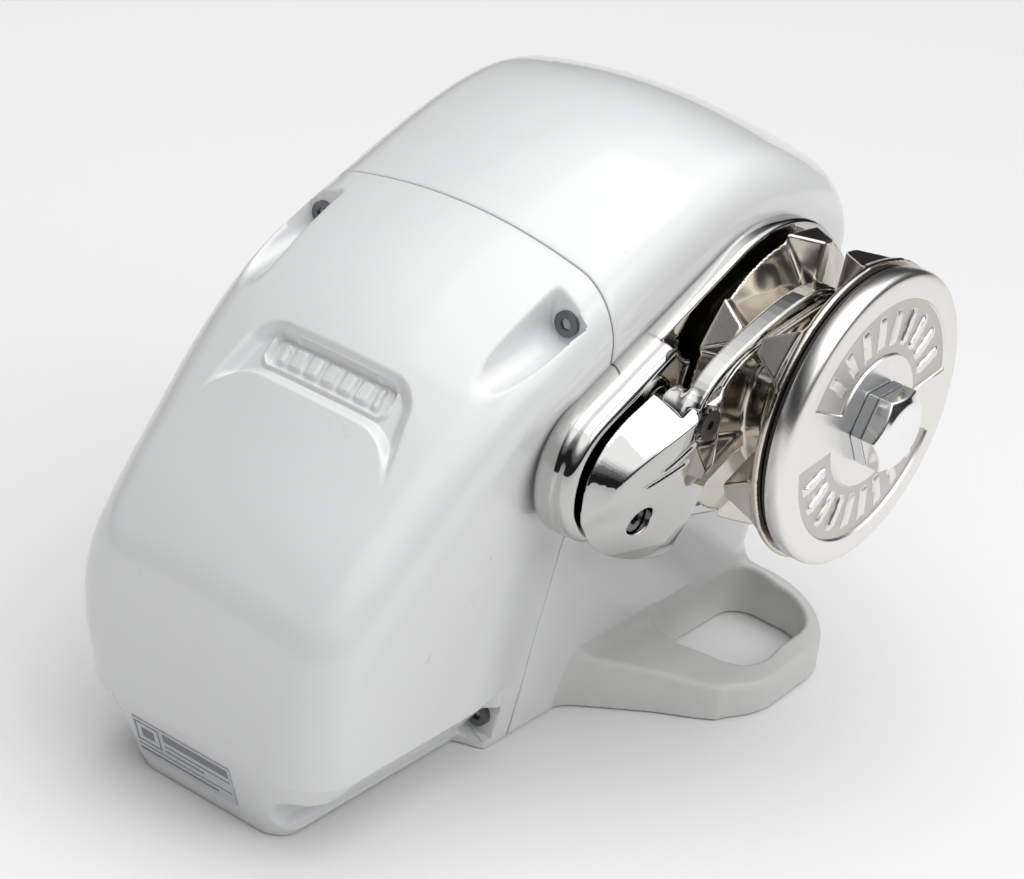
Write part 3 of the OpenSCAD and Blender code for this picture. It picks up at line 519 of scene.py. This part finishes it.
RING_WEB = [(40, -60), (51, -53), (96, -15), (72, 40), (46, 73), (20, 66)]
RING_ENDS = [(72, 10), (71, 34)]
RING_R = 34.6
RING_TOP_Z = 24.0               # height of the ring's top at the case wall
RING_FALL = 0.185
RING_EDGE_R = 2.6
HOLE_BENDS = [((65, 6), 13.6), ((78, 16), 17.6), ((75, 42), 19.6), ((63, 50), 11.6)]


def ring_hole(x, y):
    """Distance to the chain pipe's hole: four round corners and what lies between them."""
    start, rear, outer, inner = HOLE_BENDS
    side = soft_or(4, capsule(x, y, *start, *rear), capsule(x, y, *inner, *start))
    hole = soft_or(4, capsule(x, y, *rear, *outer), side)
    return np.minimum(hole, polygon_distance(x, y, [centre for centre, _ in HOLE_BENDS]))


def ring_form(x, y, z):
    """Base with the chain pipe ring: its top falls from the wall to the outer rim."""
    ends = capsule(x, y, RING_ENDS[0], RING_R, RING_ENDS[1], RING_R)
    plan = soft_or(8, ends, polygon_distance(x, y, RING_WEB))
    top = (z - RING_TOP_Z + (x - FOOT_W) * RING_FALL) * 0.98
    body = round_and(RING_EDGE_R, plan, top, -z - 3)
    body = round_cut(2.2, body, ring_hole(x, y))
    return soft_or(7, body, case_body(x, y, z) + 0.5)


def make_ring():
    """Chain pipe ring, let into the housing's side wall."""
    def form(x, y, z):
        return inside_all(ring_form(x, y, z), -z, 42 - x)
    return net_piece("chain_pipe_ring", form, (41, -66, -1), (109, 76, 40), 0.9, floor=0.0)


TAIL = (-98.0, 136.0)           # middle of the base plate's small end, (y, z)
TAIL_R = 28.0
PLATE_R = 60.0


def plate_distance(y, z):
    """Distance to the tear-drop outline of the stripper's base plate."""
    return capsule(y, z, (0.0, SHAFT_Z), PLATE_R, TAIL, TAIL_R)


def make_wall_boss():
    """Flat boss on the housing's side that the stripper base is screwed to."""
    def form(x, y, z):
        return round_and(1.2, plate_distance(y, z) + 1.5, x - WALL_X + 0.1, HOUSING_Y0 - y, 58 - x)
    return net_piece("housing_boss", form, (57, -90, 82), (72, 61, 206), 1.2)


# ---------------------------------------------------------------- stripper group
SHEET_X1 = 79.2                 # outer face of the thin part
THICK_CUT_R = 63.5              # the thick bar stops short of the gypsy
THICK_END_Y = -52.0
NOTCH, NOTCH_R = (-55.0, 186.0), 17.0
BASE_BORE_R = 36.0


def base_form(x, y, z):
    """Disc behind the gypsy, with a thick rounded bar at its tail."""
    outline = plate_distance(y, z)
    from_shaft = np.hypot(y, z - SHAFT_Z)
    sheet = round_and(1.6, outline, x - SHEET_X1, WALL_X - x)
    bar = round_and(4.6, outline, x - THICK_X1, WALL_X - x - 3)
    bar = round_cut(2.0, bar, from_shaft - THICK_CUT_R)
    bar = round_cut(1.5, bar, np.hypot(y - NOTCH[0], z - NOTCH[1]) - NOTCH_R)
    bar = round_and(1.0, bar, y - THICK_END_Y)
    return np.maximum(soft_or(1.5, sheet, bar), BASE_BORE_R - from_shaft)


def make_base():
    """Stripper base: a plate on the boss, thick at its tail."""
    return net_piece("stripper_base_casting", base_form, (71, -127, 82), (87, 61, 205), 0.8)


STRIPPER_TAIL = eased([(-30, 176), (-30, 70), (-64, 85.5), (-82, 93), (-98, 101), (-110, 108), (-118, 118),
                       (-121.5, 130), (-119.5, 143), (-113, 152.5), (-102, 159.5), (-90, 163.5), (-74, 168.5),
                       (-52, 173)])
front_line = cubic_through([(80, -64.5), (97, -62), (112, -60.3), (128, -60), (143, -59.5), (158, -56.5),
                            (172, -50)])
FACE_AT = (106.9, -75, 157)     # a point of the crowned outer face
FACE_SLOPE = (0.0404, 0.0813)   # its slope there along y and z
FACE_BEND = (-0.0036, -0.0022, 0.0005)  # how it bends: y squared, z squared and y times z
FLUTES = [((-97, 140.5), (-80.5, 149.5)), ((-105, 136), (-82, 142.8))]
FLUTE_DEPTH, FLUTE_HALF_W = 0.75, 1.05
BARREL_R = 10.2                 # clearance round the finger's barrel
BARREL_X1 = 101.6
SINK_R, SINK_X0 = 7.0, 104.0    # sink for the finger's screw
POCKET_R = 5.9                  # pocket for the stripper's screw


def stripper_form(x, y, z):
    """Wedge that clears the chain: a crowned outer face, and a bright bevel along its top."""
    back = STRIPPER_X0 + 0.4
    u, v = y - FACE_AT[1], z - FACE_AT[2]
    crown = FACE_AT[0] + FACE_SLOPE[0] * u + FACE_SLOPE[1] * v
    crown = crown + FACE_BEND[0] * u * u + FACE_BEND[1] * v * v + FACE_BEND[2] * u * v
    face = (x - crown) * 0.93
    face = round_and(0.8, face, (x - 105.6 + 0.52 * (y + 64)) * 0.88)
    tail = polygon_distance(y, z, STRIPPER_TAIL)
    # the bevel steepens from the tail towards the gypsy
    steep = 1.15 * np.exp((np.minimum(y, -55) + 118) * 0.026)
    bevel = (x - back - 0.6 + steep * tail) / np.sqrt(1 + steep ** 2)
    below = (z - 139) - 0.63 * (y + 118)
    body = round_and(1.0 + 8.5 * smooth_step(-3, -22, below), face, bevel)
    body = round_and(0.7, body, y - front_line(z))
    return round_and(0.8, body, tail, back - x)


def stripper_detail(x, y, z):
    """Stripper with its two flutes, the way for the finger's barrel, and the screws' sinks."""
    body = stripper_form(x, y, z)
    for (y0, z0), (y1, z1) in FLUTES:
        run_y, run_z = y1 - y0, z1 - z0
        along = np.clip(((y - y0) * run_y + (z - z0) * run_z) / (run_y ** 2 + run_z ** 2), 0, 1)
        away = np.hypot(y - y0 - along * run_y, z - z0 - along * run_z)
        fade = smooth_step(0, 0.35, along) * smooth_step(92, 94, x)
        body = body + FLUTE_DEPTH * np.exp(-(away / FLUTE_HALF_W) ** 2) * fade
    from_pivot = np.hypot(y - PIVOT[0], z - PIVOT[1])
    barrel = round_and(0.3, from_pivot - BARREL_R, x - BARREL_X1)
    way = round_and(1.0, x - BARREL_X1, PIVOT[0] - BARREL_R - y, PIVOT[1] - z)
    body = round_cut(0.7, body, np.minimum(barrel, way))
    pocket = np.hypot(y - LOWER_SCREW[0], z - LOWER_SCREW[1]) - POCKET_R
    body = round_cut(0.8, body, round_and(0.3, pocket, STRIPPER_X0 + 3 - x))
    return round_cut(0.5, body, round_and(0.3, from_pivot - SINK_R, SINK_X0 - x))


def make_stripper():
    """Stripper casting."""
    return net_piece("stripper_casting", stripper_detail, (87, -123, 82), (110, -44, 174), 0.6)


ARM_OUTLINE = eased([(-80, 160), (-76, 168), (-66, 175.5), (-50, 181.5), (-30, 187), (-14, 189.5),
                     (0, 188.3), (7, 185), (8.3, 181.3), (4, 179.2), (-10, 178.4), (-38, 175), (-55, 172),
                     (-65.5, 161)], 2)
FINGER_BORE_R = 3.45


def finger_form(x, y, z):
    """Pressure finger: a rounded barrel on its screw and an arm over the chain's groove."""
    from_pivot = np.hypot(y - PIVOT[0], z - PIVOT[1])
    barrel = round_and(2.2, from_pivot - 9.4, x - 101.0, 88.9 - x)
    outline = polygon_distance(y, z, ARM_OUTLINE)
    arm = round_and(1.2, outline, np.abs(x - GROOVE_X) - SLOT_HALF + 0.6)
    channel = round_and(0.6, outline + 3.0, GROOVE_X + 2.2 - x)
    arm = round_cut(0.6, arm, channel)
    return np.maximum(soft_or(3.0, barrel, arm), FINGER_BORE_R - from_pivot)


def make_finger():
    """Pressure finger casting."""
    return net_piece("pressure_finger_casting", finger_form, (88, -86, 145), (106, 10, 191), 0.55)


# ---------------------------------------------------------------- gypsy
POCKETS = 6
FIRST_TOOTH = math.radians(-8)
FLANGE_IN, FLANGE_OUT = 17.0, 21.0  # flange faces from the groove's middle, towards the case and the disc
VEE_ROOT_R = 33.0               # bottom of the upright links' slot
VEE_FLARE = 0.52
TOOTH_TOP = 58.3
GYPSY_BORE_R = 28.4


def gypsy_form(x, y, z):
    """Chain wheel: two flanges, a slot for upright links, and pockets between wedge teeth."""
    r = np.hypot(y, z - SHAFT_Z)
    pitch = 2 * math.pi / POCKETS
    # angle from the nearest tooth, measured as the CAD turns about +X from +Z
    turn = np.arctan2(-y, z - SHAFT_Z) - FIRST_TOOTH
    turn = (turn + pitch / 2) % pitch - pitch / 2
    along = r * np.sin(turn)
    out = r * np.cos(turn)
    off = np.abs(x - GROOVE_X)
    past_flange = off - np.where(x < GROOVE_X, FLANGE_IN, FLANGE_OUT)
    wheel = round_and(0.8, past_flange, r - np.where(x < GROOVE_X, GYPSY_R, GYPSY_R - 1))
    vee = (off - SLOT_HALF - (r - VEE_ROOT_R) * VEE_FLARE) * 0.88
    vee = round_and(1.5, vee, VEE_ROOT_R - r)
    body = round_cut(1.0, wheel, vee)
    tooth = round_and(1.2, np.abs(along) - 3.2 - np.maximum(off - SLOT_HALF, 0) * 0.62,
                      SLOT_HALF - off, out - TOOTH_TOP, past_flange)
    body = soft_or(2.0, body, np.maximum(tooth, 31 - r))
    from_pocket = np.abs(turn) - pitch / 2
    pocket_along = r * np.sin(from_pocket)
    pocket_out = r * np.cos(from_pocket)
    scoop = np.sqrt((pocket_along / 15.0) ** 2 + (off / 14.5) ** 2 + ((pocket_out - 55) / 13.0) ** 2) - 1
    return soft_cut(1.2, body, scoop * 9)


def make_gypsy():
    """Chain wheel, bored for its bush."""
    def form(x, y, z):
        r = np.hypot(y, z - SHAFT_Z)
        return inside_all(gypsy_form(x, y, z), GYPSY_BORE_R - r, GYPSY_LOW[0] - x, x - GYPSY_HIGH[0])
    low = (GYPSY_LOW[0], -GYPSY_R, SHAFT_Z - GYPSY_R)
    high = (GYPSY_HIGH[0], GYPSY_R, SHAFT_Z + GYPSY_R)
    return net_piece("gypsy_wheel", form, low, high, 0.8)


# ---------------------------------------------------------------- clutch disc and nut
PANEL_IN, PANEL_OUT = 26.5, 48.5
PANEL_TURN = math.radians(82)   # middle of the upper panel
PANEL_HALF = math.radians(75)
PANEL_SINK = 1.0
RIB_PITCH = math.radians(15)
RIB_RISE = 0.9
RIB_HALF_W = 1.9
RIB_INSET = 4.5
DISC_BORE_R = 10.2
HUB_R = 28.0                    # foot of the disc's rim, behind its face


def panel_depth(r, angle):
    """Depth of the two sunk arc panels and their plain raised ribs."""
    turn = (angle - PANEL_TURN + math.pi / 2) % math.pi - math.pi / 2
    edge = inside_all(PANEL_IN - r, r - PANEL_OUT, (np.abs(turn) - PANEL_HALF) * r)
    rib_turn = (turn + RIB_PITCH / 2) % RIB_PITCH - RIB_PITCH / 2
    rib = inside_all(PANEL_IN + RIB_INSET - r, r - PANEL_OUT + RIB_INSET, np.abs(rib_turn) * r - RIB_HALF_W,
                     (np.abs(turn) - PANEL_HALF + math.radians(9)) * r)
    return PANEL_SINK * smooth_step(0.15, -0.25, edge) - RIB_RISE * smooth_step(0.15, -0.25, rib)


def make_panel_floors():
    """Grained floors of the two sunk panels; the ribs stand through them."""
    points, faces = [], []
    for side in (0, 1):
        centre, half = PANEL_TURN + math.pi * side, PANEL_HALF - math.radians(0.6)
        angles = np.linspace(centre - half, centre + half, 90)
        start = len(points)
        for x in (DISC_X1 - 0.94, DISC_X1 - 0.98):
            for r in (PANEL_IN + 0.35, PANEL_OUT - 0.35):
                points += [(x, r * math.cos(a), SHAFT_Z + r * math.sin(a)) for a in angles]
        m = len(angles)
        loops = [start, start + m, start + 3 * m, start + 2 * m]
        for a, b in zip(loops, loops[1:] + loops[:1]):
            faces += [(a + j, b + j, b + j + 1, a + j + 1) for j in range(m - 1)]
        faces += [tuple(reversed(loops)), tuple(k + m - 1 for k in loops)]
    return make_mesh("panel_floors", points, faces, smooth=False)


def make_disc():
    """Clutch disc: lathed rim, satin face with two sunk arc panels."""
    back = DISC_X0 - 1.6
    section = [(back, HUB_R), (DISC_X0, HUB_R), (DISC_X0, DISC_R - 0.8), (DISC_X0 + 0.25, DISC_R - 0.25),
               (DISC_X0 + 0.8, DISC_R), (DISC_X1 - 2.6, DISC_R), (DISC_X1 - 1.5, DISC_R - 0.35),
               (DISC_X1 - 0.6, DISC_R - 1.4), (DISC_X1 - 0.15, DISC_R - 2.8), (DISC_X1, DISC_R - 4.4)]
    face = np.concatenate([[50.5, 49.2, 48.8, 48.4, 48.1], np.arange(47, 28, -1.0), [27.0, 26.6, 26.2, 25.8],
                           [22, 16, DISC_BORE_R]])
    section += [(DISC_X1, r) for r in face] + [(back, DISC_BORE_R)]
    angles = np.linspace(0, 2 * math.pi, 720, endpoint=False)
    rows = []
    for x, r in section:
        depth = panel_depth(r, angles) if x == DISC_X1 else 0
        rows.append(np.stack([np.full_like(angles, x) - depth, r * np.cos(angles),
                              SHAFT_Z + r * np.sin(angles)], -1))
    points = np.stack(rows)
    n, m = len(rows), len(angles)
    faces = [list(f) for f in grid_faces(n, m, closed=True)]
    faces += [[(n - 1) * m + j, (n - 1) * m + (j + 1) % m, (j + 1) % m, j] for j in range(m)]
    return make_mesh("clutch_disc_turned", points.reshape(-1, 3), faces)


def hexagon(y, z):
    """Distance to the nut's hexagon, two of its flats level."""
    v = z - SHAFT_Z
    return inside_all(np.abs(v), np.abs(0.866 * y + 0.5 * v), np.abs(0.866 * y - 0.5 * v)) - NUT_AF / 2


def make_nut():
    """Hexagon nut, its corners chamfered towards the disc."""
    def form(x, y, z):
        r = np.hypot(y, z - SHAFT_Z)
        seat = (r * 0.5 - (x - NUT_LOW[0]) * 0.87) - 7.9
        body = round_and(0.35, hexagon(y, z), NUT_LOW[0] - x, x - NUT_HIGH[0] + 0.12, seat)
        return np.maximum(body, SHAFT_END_R + 0.05 - r)
    return net_piece("clutch_nut_hex", form, NUT_LOW, NUT_HIGH, 0.4)


def make_cap():
    """Cap nut: corners turned down to a raised round face."""
    def form(x, y, z):
        r = np.hypot(y, z - SHAFT_Z)
        cone = (x - CAP_HIGH[0]) * 0.88 + (r - 11.2) * 0.47
        return round_and(0.6, hexagon(y, z), CAP_LOW[0] - x + 0.05, x - CAP_HIGH[0], cone)
    return net_piece("nut_cap_hex", form, CAP_LOW, CAP_HIGH, 0.4)


def auto_smooth(piece, angle):
    """Smooth shading, with edges sharper than angle left crisp."""
    mesh = piece.data
    work = bmesh.new()
    work.from_mesh(mesh)
    limit = math.radians(angle)
    for edge in work.edges:
        edge.smooth = len(edge.link_faces) != 2 or edge.calc_face_angle(0) < limit
    work.to_mesh(mesh)
    work.free()


# ---------------------------------------------------------------- materials
def material(name, color, metallic=0.0, roughness=0.4, coat=0.0, coat_roughness=0.05, grain=0.0,
             grain_scale=900.0, tone=0.03, tone_scale=60.0, wear=0.06, brushed=None):
    """Principled material with fine noise in its colour, roughness and bump."""
    made = bpy.data.materials.new(name)
    made.use_nodes = True
    nodes, links = made.node_tree.nodes, made.node_tree.links
    shader = nodes["Principled BSDF"]
    shader.inputs["Metallic"].default_value = metallic
    shader.inputs["Coat Weight"].default_value = coat
    shader.inputs["Coat Roughness"].default_value = coat_roughness
    place = nodes.new("ShaderNodeTexCoord")
    mapping = nodes.new("ShaderNodeMapping")
    if brushed is not None:
        mapping.inputs["Scale"].default_value = brushed
    links.new(place.outputs["Object"], mapping.inputs["Vector"])
    cloud = nodes.new("ShaderNodeTexNoise")
    cloud.inputs["Scale"].default_value = tone_scale
    cloud.inputs["Detail"].default_value = 4.0
    links.new(mapping.outputs["Vector"], cloud.inputs["Vector"])
    shade = nodes.new("ShaderNodeMix")
    shade.data_type = "RGBA"
    light = [min(1.0, c * (1 + tone)) for c in color]
    dark = [c * (1 - tone) for c in color]
    shade.inputs["A"].default_value = (*dark, 1)
    shade.inputs["B"].default_value = (*light, 1)
    links.new(cloud.outputs["Fac"], shade.inputs["Factor"])
    links.new(shade.outputs["Result"], shader.inputs["Base Color"])
    rough = nodes.new("ShaderNodeMapRange")
    rough.inputs["To Min"].default_value = max(0.0, roughness - wear)
    rough.inputs["To Max"].default_value = roughness + wear
    links.new(cloud.outputs["Fac"], rough.inputs["Value"])
    links.new(rough.outputs["Result"], shader.inputs["Roughness"])
    if grain:
        fine = nodes.new("ShaderNodeTexNoise")
        fine.inputs["Scale"].default_value = grain_scale
        fine.inputs["Detail"].default_value = 3.0
        links.new(mapping.outputs["Vector"], fine.inputs["Vector"])
        bump = nodes.new("ShaderNodeBump")
        bump.inputs["Strength"].default_value = grain
        bump.inputs["Distance"].default_value = 0.0002
        links.new(fine.outputs["Fac"], bump.inputs["Height"])
        links.new(bump.outputs["Normal"], shader.inputs["Normal"])
    return made


FINISH = {
    "white_paint": dict(color=(0.73, 0.735, 0.74), roughness=0.3, coat=0.8, coat_roughness=0.07, tone=0.01,
                        grain=0.04, grain_scale=500),
    "base_paint": dict(color=(0.62, 0.625, 0.61), roughness=0.42, coat=0.35, coat_roughness=0.25, tone=0.015,
                       grain=0.5, grain_scale=1400),
    "gasket": dict(color=(0.25, 0.26, 0.27), roughness=0.8, grain=0.3),
    "dark_screw": dict(color=(0.16, 0.165, 0.17), metallic=1.0, roughness=0.34, grain=0.15),
    "label": dict(color=(0.62, 0.63, 0.65), metallic=0.7, roughness=0.35, grain=0.1),
    "cast_alloy": dict(color=(0.66, 0.66, 0.67), metallic=1.0, roughness=0.5, grain=0.6),
    "rubber": dict(color=(0.015, 0.015, 0.016), roughness=0.5, grain=0.3),
    "steel": dict(color=(0.55, 0.55, 0.56), metallic=1.0, roughness=0.28, grain=0.15),
    "bearing_steel": dict(color=(0.7, 0.71, 0.73), metallic=1.0, roughness=0.12, grain=0.03),
    "bronze": dict(color=(0.65, 0.42, 0.18), metallic=1.0, roughness=0.3, grain=0.15),
    "motor_paint": dict(color=(0.05, 0.05, 0.055), roughness=0.35, coat=0.5, grain=0.2),
    "magnet": dict(color=(0.08, 0.08, 0.085), roughness=0.7, grain=0.5),
    "lamination": dict(color=(0.22, 0.22, 0.23), metallic=0.8, roughness=0.5, grain=0.3, brushed=(1, 40, 1)),
    "copper": dict(color=(0.72, 0.38, 0.2), metallic=1.0, roughness=0.3, grain=0.1),
    "phenolic": dict(color=(0.2, 0.1, 0.05), roughness=0.5, grain=0.2),
    "carbon": dict(color=(0.03, 0.03, 0.03), roughness=0.6, grain=0.4),
    "nickel": dict(color=(0.66, 0.615, 0.55), metallic=1.0, roughness=0.16, tone=0.06, grain=0.12,
                   grain_scale=300),
    "disc_nickel": dict(color=(0.84, 0.82, 0.79), metallic=1.0, roughness=0.26, tone=0.02, grain=0.06,
                        grain_scale=700),
    "inner_cast": dict(color=(0.62, 0.60, 0.57), metallic=1.0, roughness=0.42, grain=0.5, grain_scale=1200),
    "nut_chrome": dict(color=(0.72, 0.75, 0.78), metallic=1.0, roughness=0.1, wear=0.03, grain=0.02),
    "cap_chrome": dict(color=(0.93, 0.93, 0.93), metallic=1.0, roughness=0.12, wear=0.03, grain=0.02),
    "polished": dict(color=(0.55, 0.545, 0.53), metallic=1.0, roughness=0.05, wear=0.01, tone=0.01,
                     grain=0.02, grain_scale=120),
}
materials = {name: material(name, **look) for name, look in FINISH.items()}


def dress(piece, finish, body, *nodes, slot=None):
    """Gives a new piece its material and its body, and hides the CAD nodes that it stands for; slot is not
    used.
    """
    piece.data.materials.append(materials[finish])
    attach(piece, body)
    if nodes:
        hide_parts(*nodes)
    return piece


def dress_cad_nodes():
    """Each CAD node that stays gets the procedural material of its slot."""
    for part in frame["record"]["subparts"]:
        mesh = frame["nodes"][part["node"]].data
        mesh.materials.clear()
        mesh.materials.append(materials[part["material_slot"]])


# ---------------------------------------------------------------- stage
FLOOR_REACH = 9000
FLOOR_Z = -0.6
FLOOR_TONE = 0.80
# place, what it points at and side, in metres, and power in watts
OVERHEAD = ((0.1, 0.0, 1.5), (0, 0, 0.1), 1.4, 6.3)
SIDE = ((1.5, 0.15, 1.1), (0.05, 0, 0.12), 0.9, 3)
SKY_TILT = (0.25, 0.0, 1.0)     # the sky is brightest this way
SKY = [(0.34, (0.015, 0.015, 0.016)), (0.52, (0.13, 0.135, 0.14)), (0.80, (1, 1, 1))]
SKY_STRENGTH = 1.47
CAMERA_PLACE = (0.65358, -0.99055, 0.70634)
CAMERA_TURN = (34.52, 28.01, 7.78)  # azimuth from the bow, elevation and roll, in degrees
LENS = 117.79


def make_floor():
    """Plain pale floor just under the base plate."""
    corners = [(-1, -1), (1, -1), (1, 1), (-1, 1)]
    points = [(a * FLOOR_REACH, b * FLOOR_REACH, FLOOR_Z) for a, b in corners]
    floor = make_mesh("floor", points, [(0, 1, 2, 3)], smooth=False)
    paint = bpy.data.materials.new("floor")
    paint.use_nodes = True
    shader = paint.node_tree.nodes["Principled BSDF"]
    shader.inputs["Base Color"].default_value = (FLOOR_TONE, FLOOR_TONE, FLOOR_TONE, 1)
    shader.inputs["Roughness"].default_value = 0.8
    floor.data.materials.append(paint)


def area_light(name, place, target, side, power):
    """Square soft light that faces its target."""
    data = bpy.data.lights.new(name, "AREA")
    data.shape = "SQUARE"
    data.size = side
    data.energy = power
    light = bpy.data.objects.new(name, data)
    light.location = place
    light.rotation_euler = (Vector(target) - Vector(place)).to_track_quat("-Z", "Y").to_euler()
    bpy.context.scene.collection.objects.link(light)


def make_world():
    """Bright sky that dims towards the horizon, most of all on -X, for the polished metal to mirror."""
    world = bpy.data.worlds.new("studio")
    bpy.context.scene.world = world
    world.use_nodes = True
    nodes, links = world.node_tree.nodes, world.node_tree.links
    background = nodes["Background"]
    place = nodes.new("ShaderNodeTexCoord")
    tilted = nodes.new("ShaderNodeVectorMath")
    tilted.operation = "DOT_PRODUCT"
    tilted.inputs[1].default_value = SKY_TILT
    links.new(place.outputs["Generated"], tilted.inputs[0])
    height = nodes.new("ShaderNodeValToRGB")
    ramp = height.color_ramp
    ramp.interpolation = "EASE"
    ramp.elements.new(0.5)
    for stop, (position, color) in zip(ramp.elements, SKY):
        stop.position, stop.color = position, (*color, 1)
    links.new(tilted.outputs["Value"], height.inputs["Fac"])
    links.new(height.outputs["Color"], background.inputs["Color"])
    background.inputs["Strength"].default_value = SKY_STRENGTH


def make_camera():
    """Long lens, looking down over the bow's right side, slightly rolled."""
    azimuth, elevation, roll = (math.radians(a) for a in CAMERA_TURN)
    back = Vector((math.sin(azimuth) * math.cos(elevation), -math.cos(azimuth) * math.cos(elevation),
                   math.sin(elevation)))
    level = Vector((math.cos(azimuth), math.sin(azimuth), 0))
    upright = back.cross(level)
    right = math.cos(roll) * level + math.sin(roll) * upright
    up = math.cos(roll) * upright - math.sin(roll) * level
    data = bpy.data.cameras.new("camera")
    data.lens = LENS
    data.sensor_width = 36
    data.clip_start, data.clip_end = 0.05, 50
    camera = bpy.data.objects.new("camera", data)
    rows = [(right[i], up[i], back[i], CAMERA_PLACE[i]) for i in range(3)]
    camera.matrix_world = Matrix((*rows, (0, 0, 0, 1)))
    bpy.context.scene.collection.objects.link(camera)
    bpy.context.scene.camera = camera


make_camera()
area_light("overhead", *OVERHEAD)
area_light("side", *SIDE)
make_world()
make_floor()
bpy.context.scene.view_settings.view_transform = "Standard"

dress_cad_nodes()
cover = dress(make_cover(), "white_paint", "case", "motor_cover")
auto_smooth(cover, 50)
skirt = dress(make_skirt(), "white_paint", "case")
auto_smooth(skirt, 50)
housing = dress(make_housing(), "white_paint", "case", "gear_housing")
auto_smooth(housing, 50)
dress(make_gasket_line(), "gasket", "case", "cover_gasket")
plate, fields = make_label()
dress(plate, "label", "case", "rating_plate")
dress(fields, "gasket", "case")
dress(make_ring(), "base_paint", "case")
dress(make_wall_boss(), "white_paint", "case")
dress(make_base(), "polished", "case", "stripper_base")
dress(make_stripper(), "polished", "case", "stripper")
dress(make_finger(), "polished", "pressure_finger", "pressure_finger")
dress(make_gypsy(), "nickel", "gypsy", "gypsy")
disc = dress(make_disc(), "disc_nickel", "clutch_disc", "clutch_disc")
auto_smooth(disc, 40)
dress(make_panel_floors(), "inner_cast", "clutch_disc", slot="disc_nickel")
dress(make_nut(), "nut_chrome", "clutch_nut", "clutch_nut")
dress(make_cap(), "cap_chrome", "clutch_nut", "nut_cap")
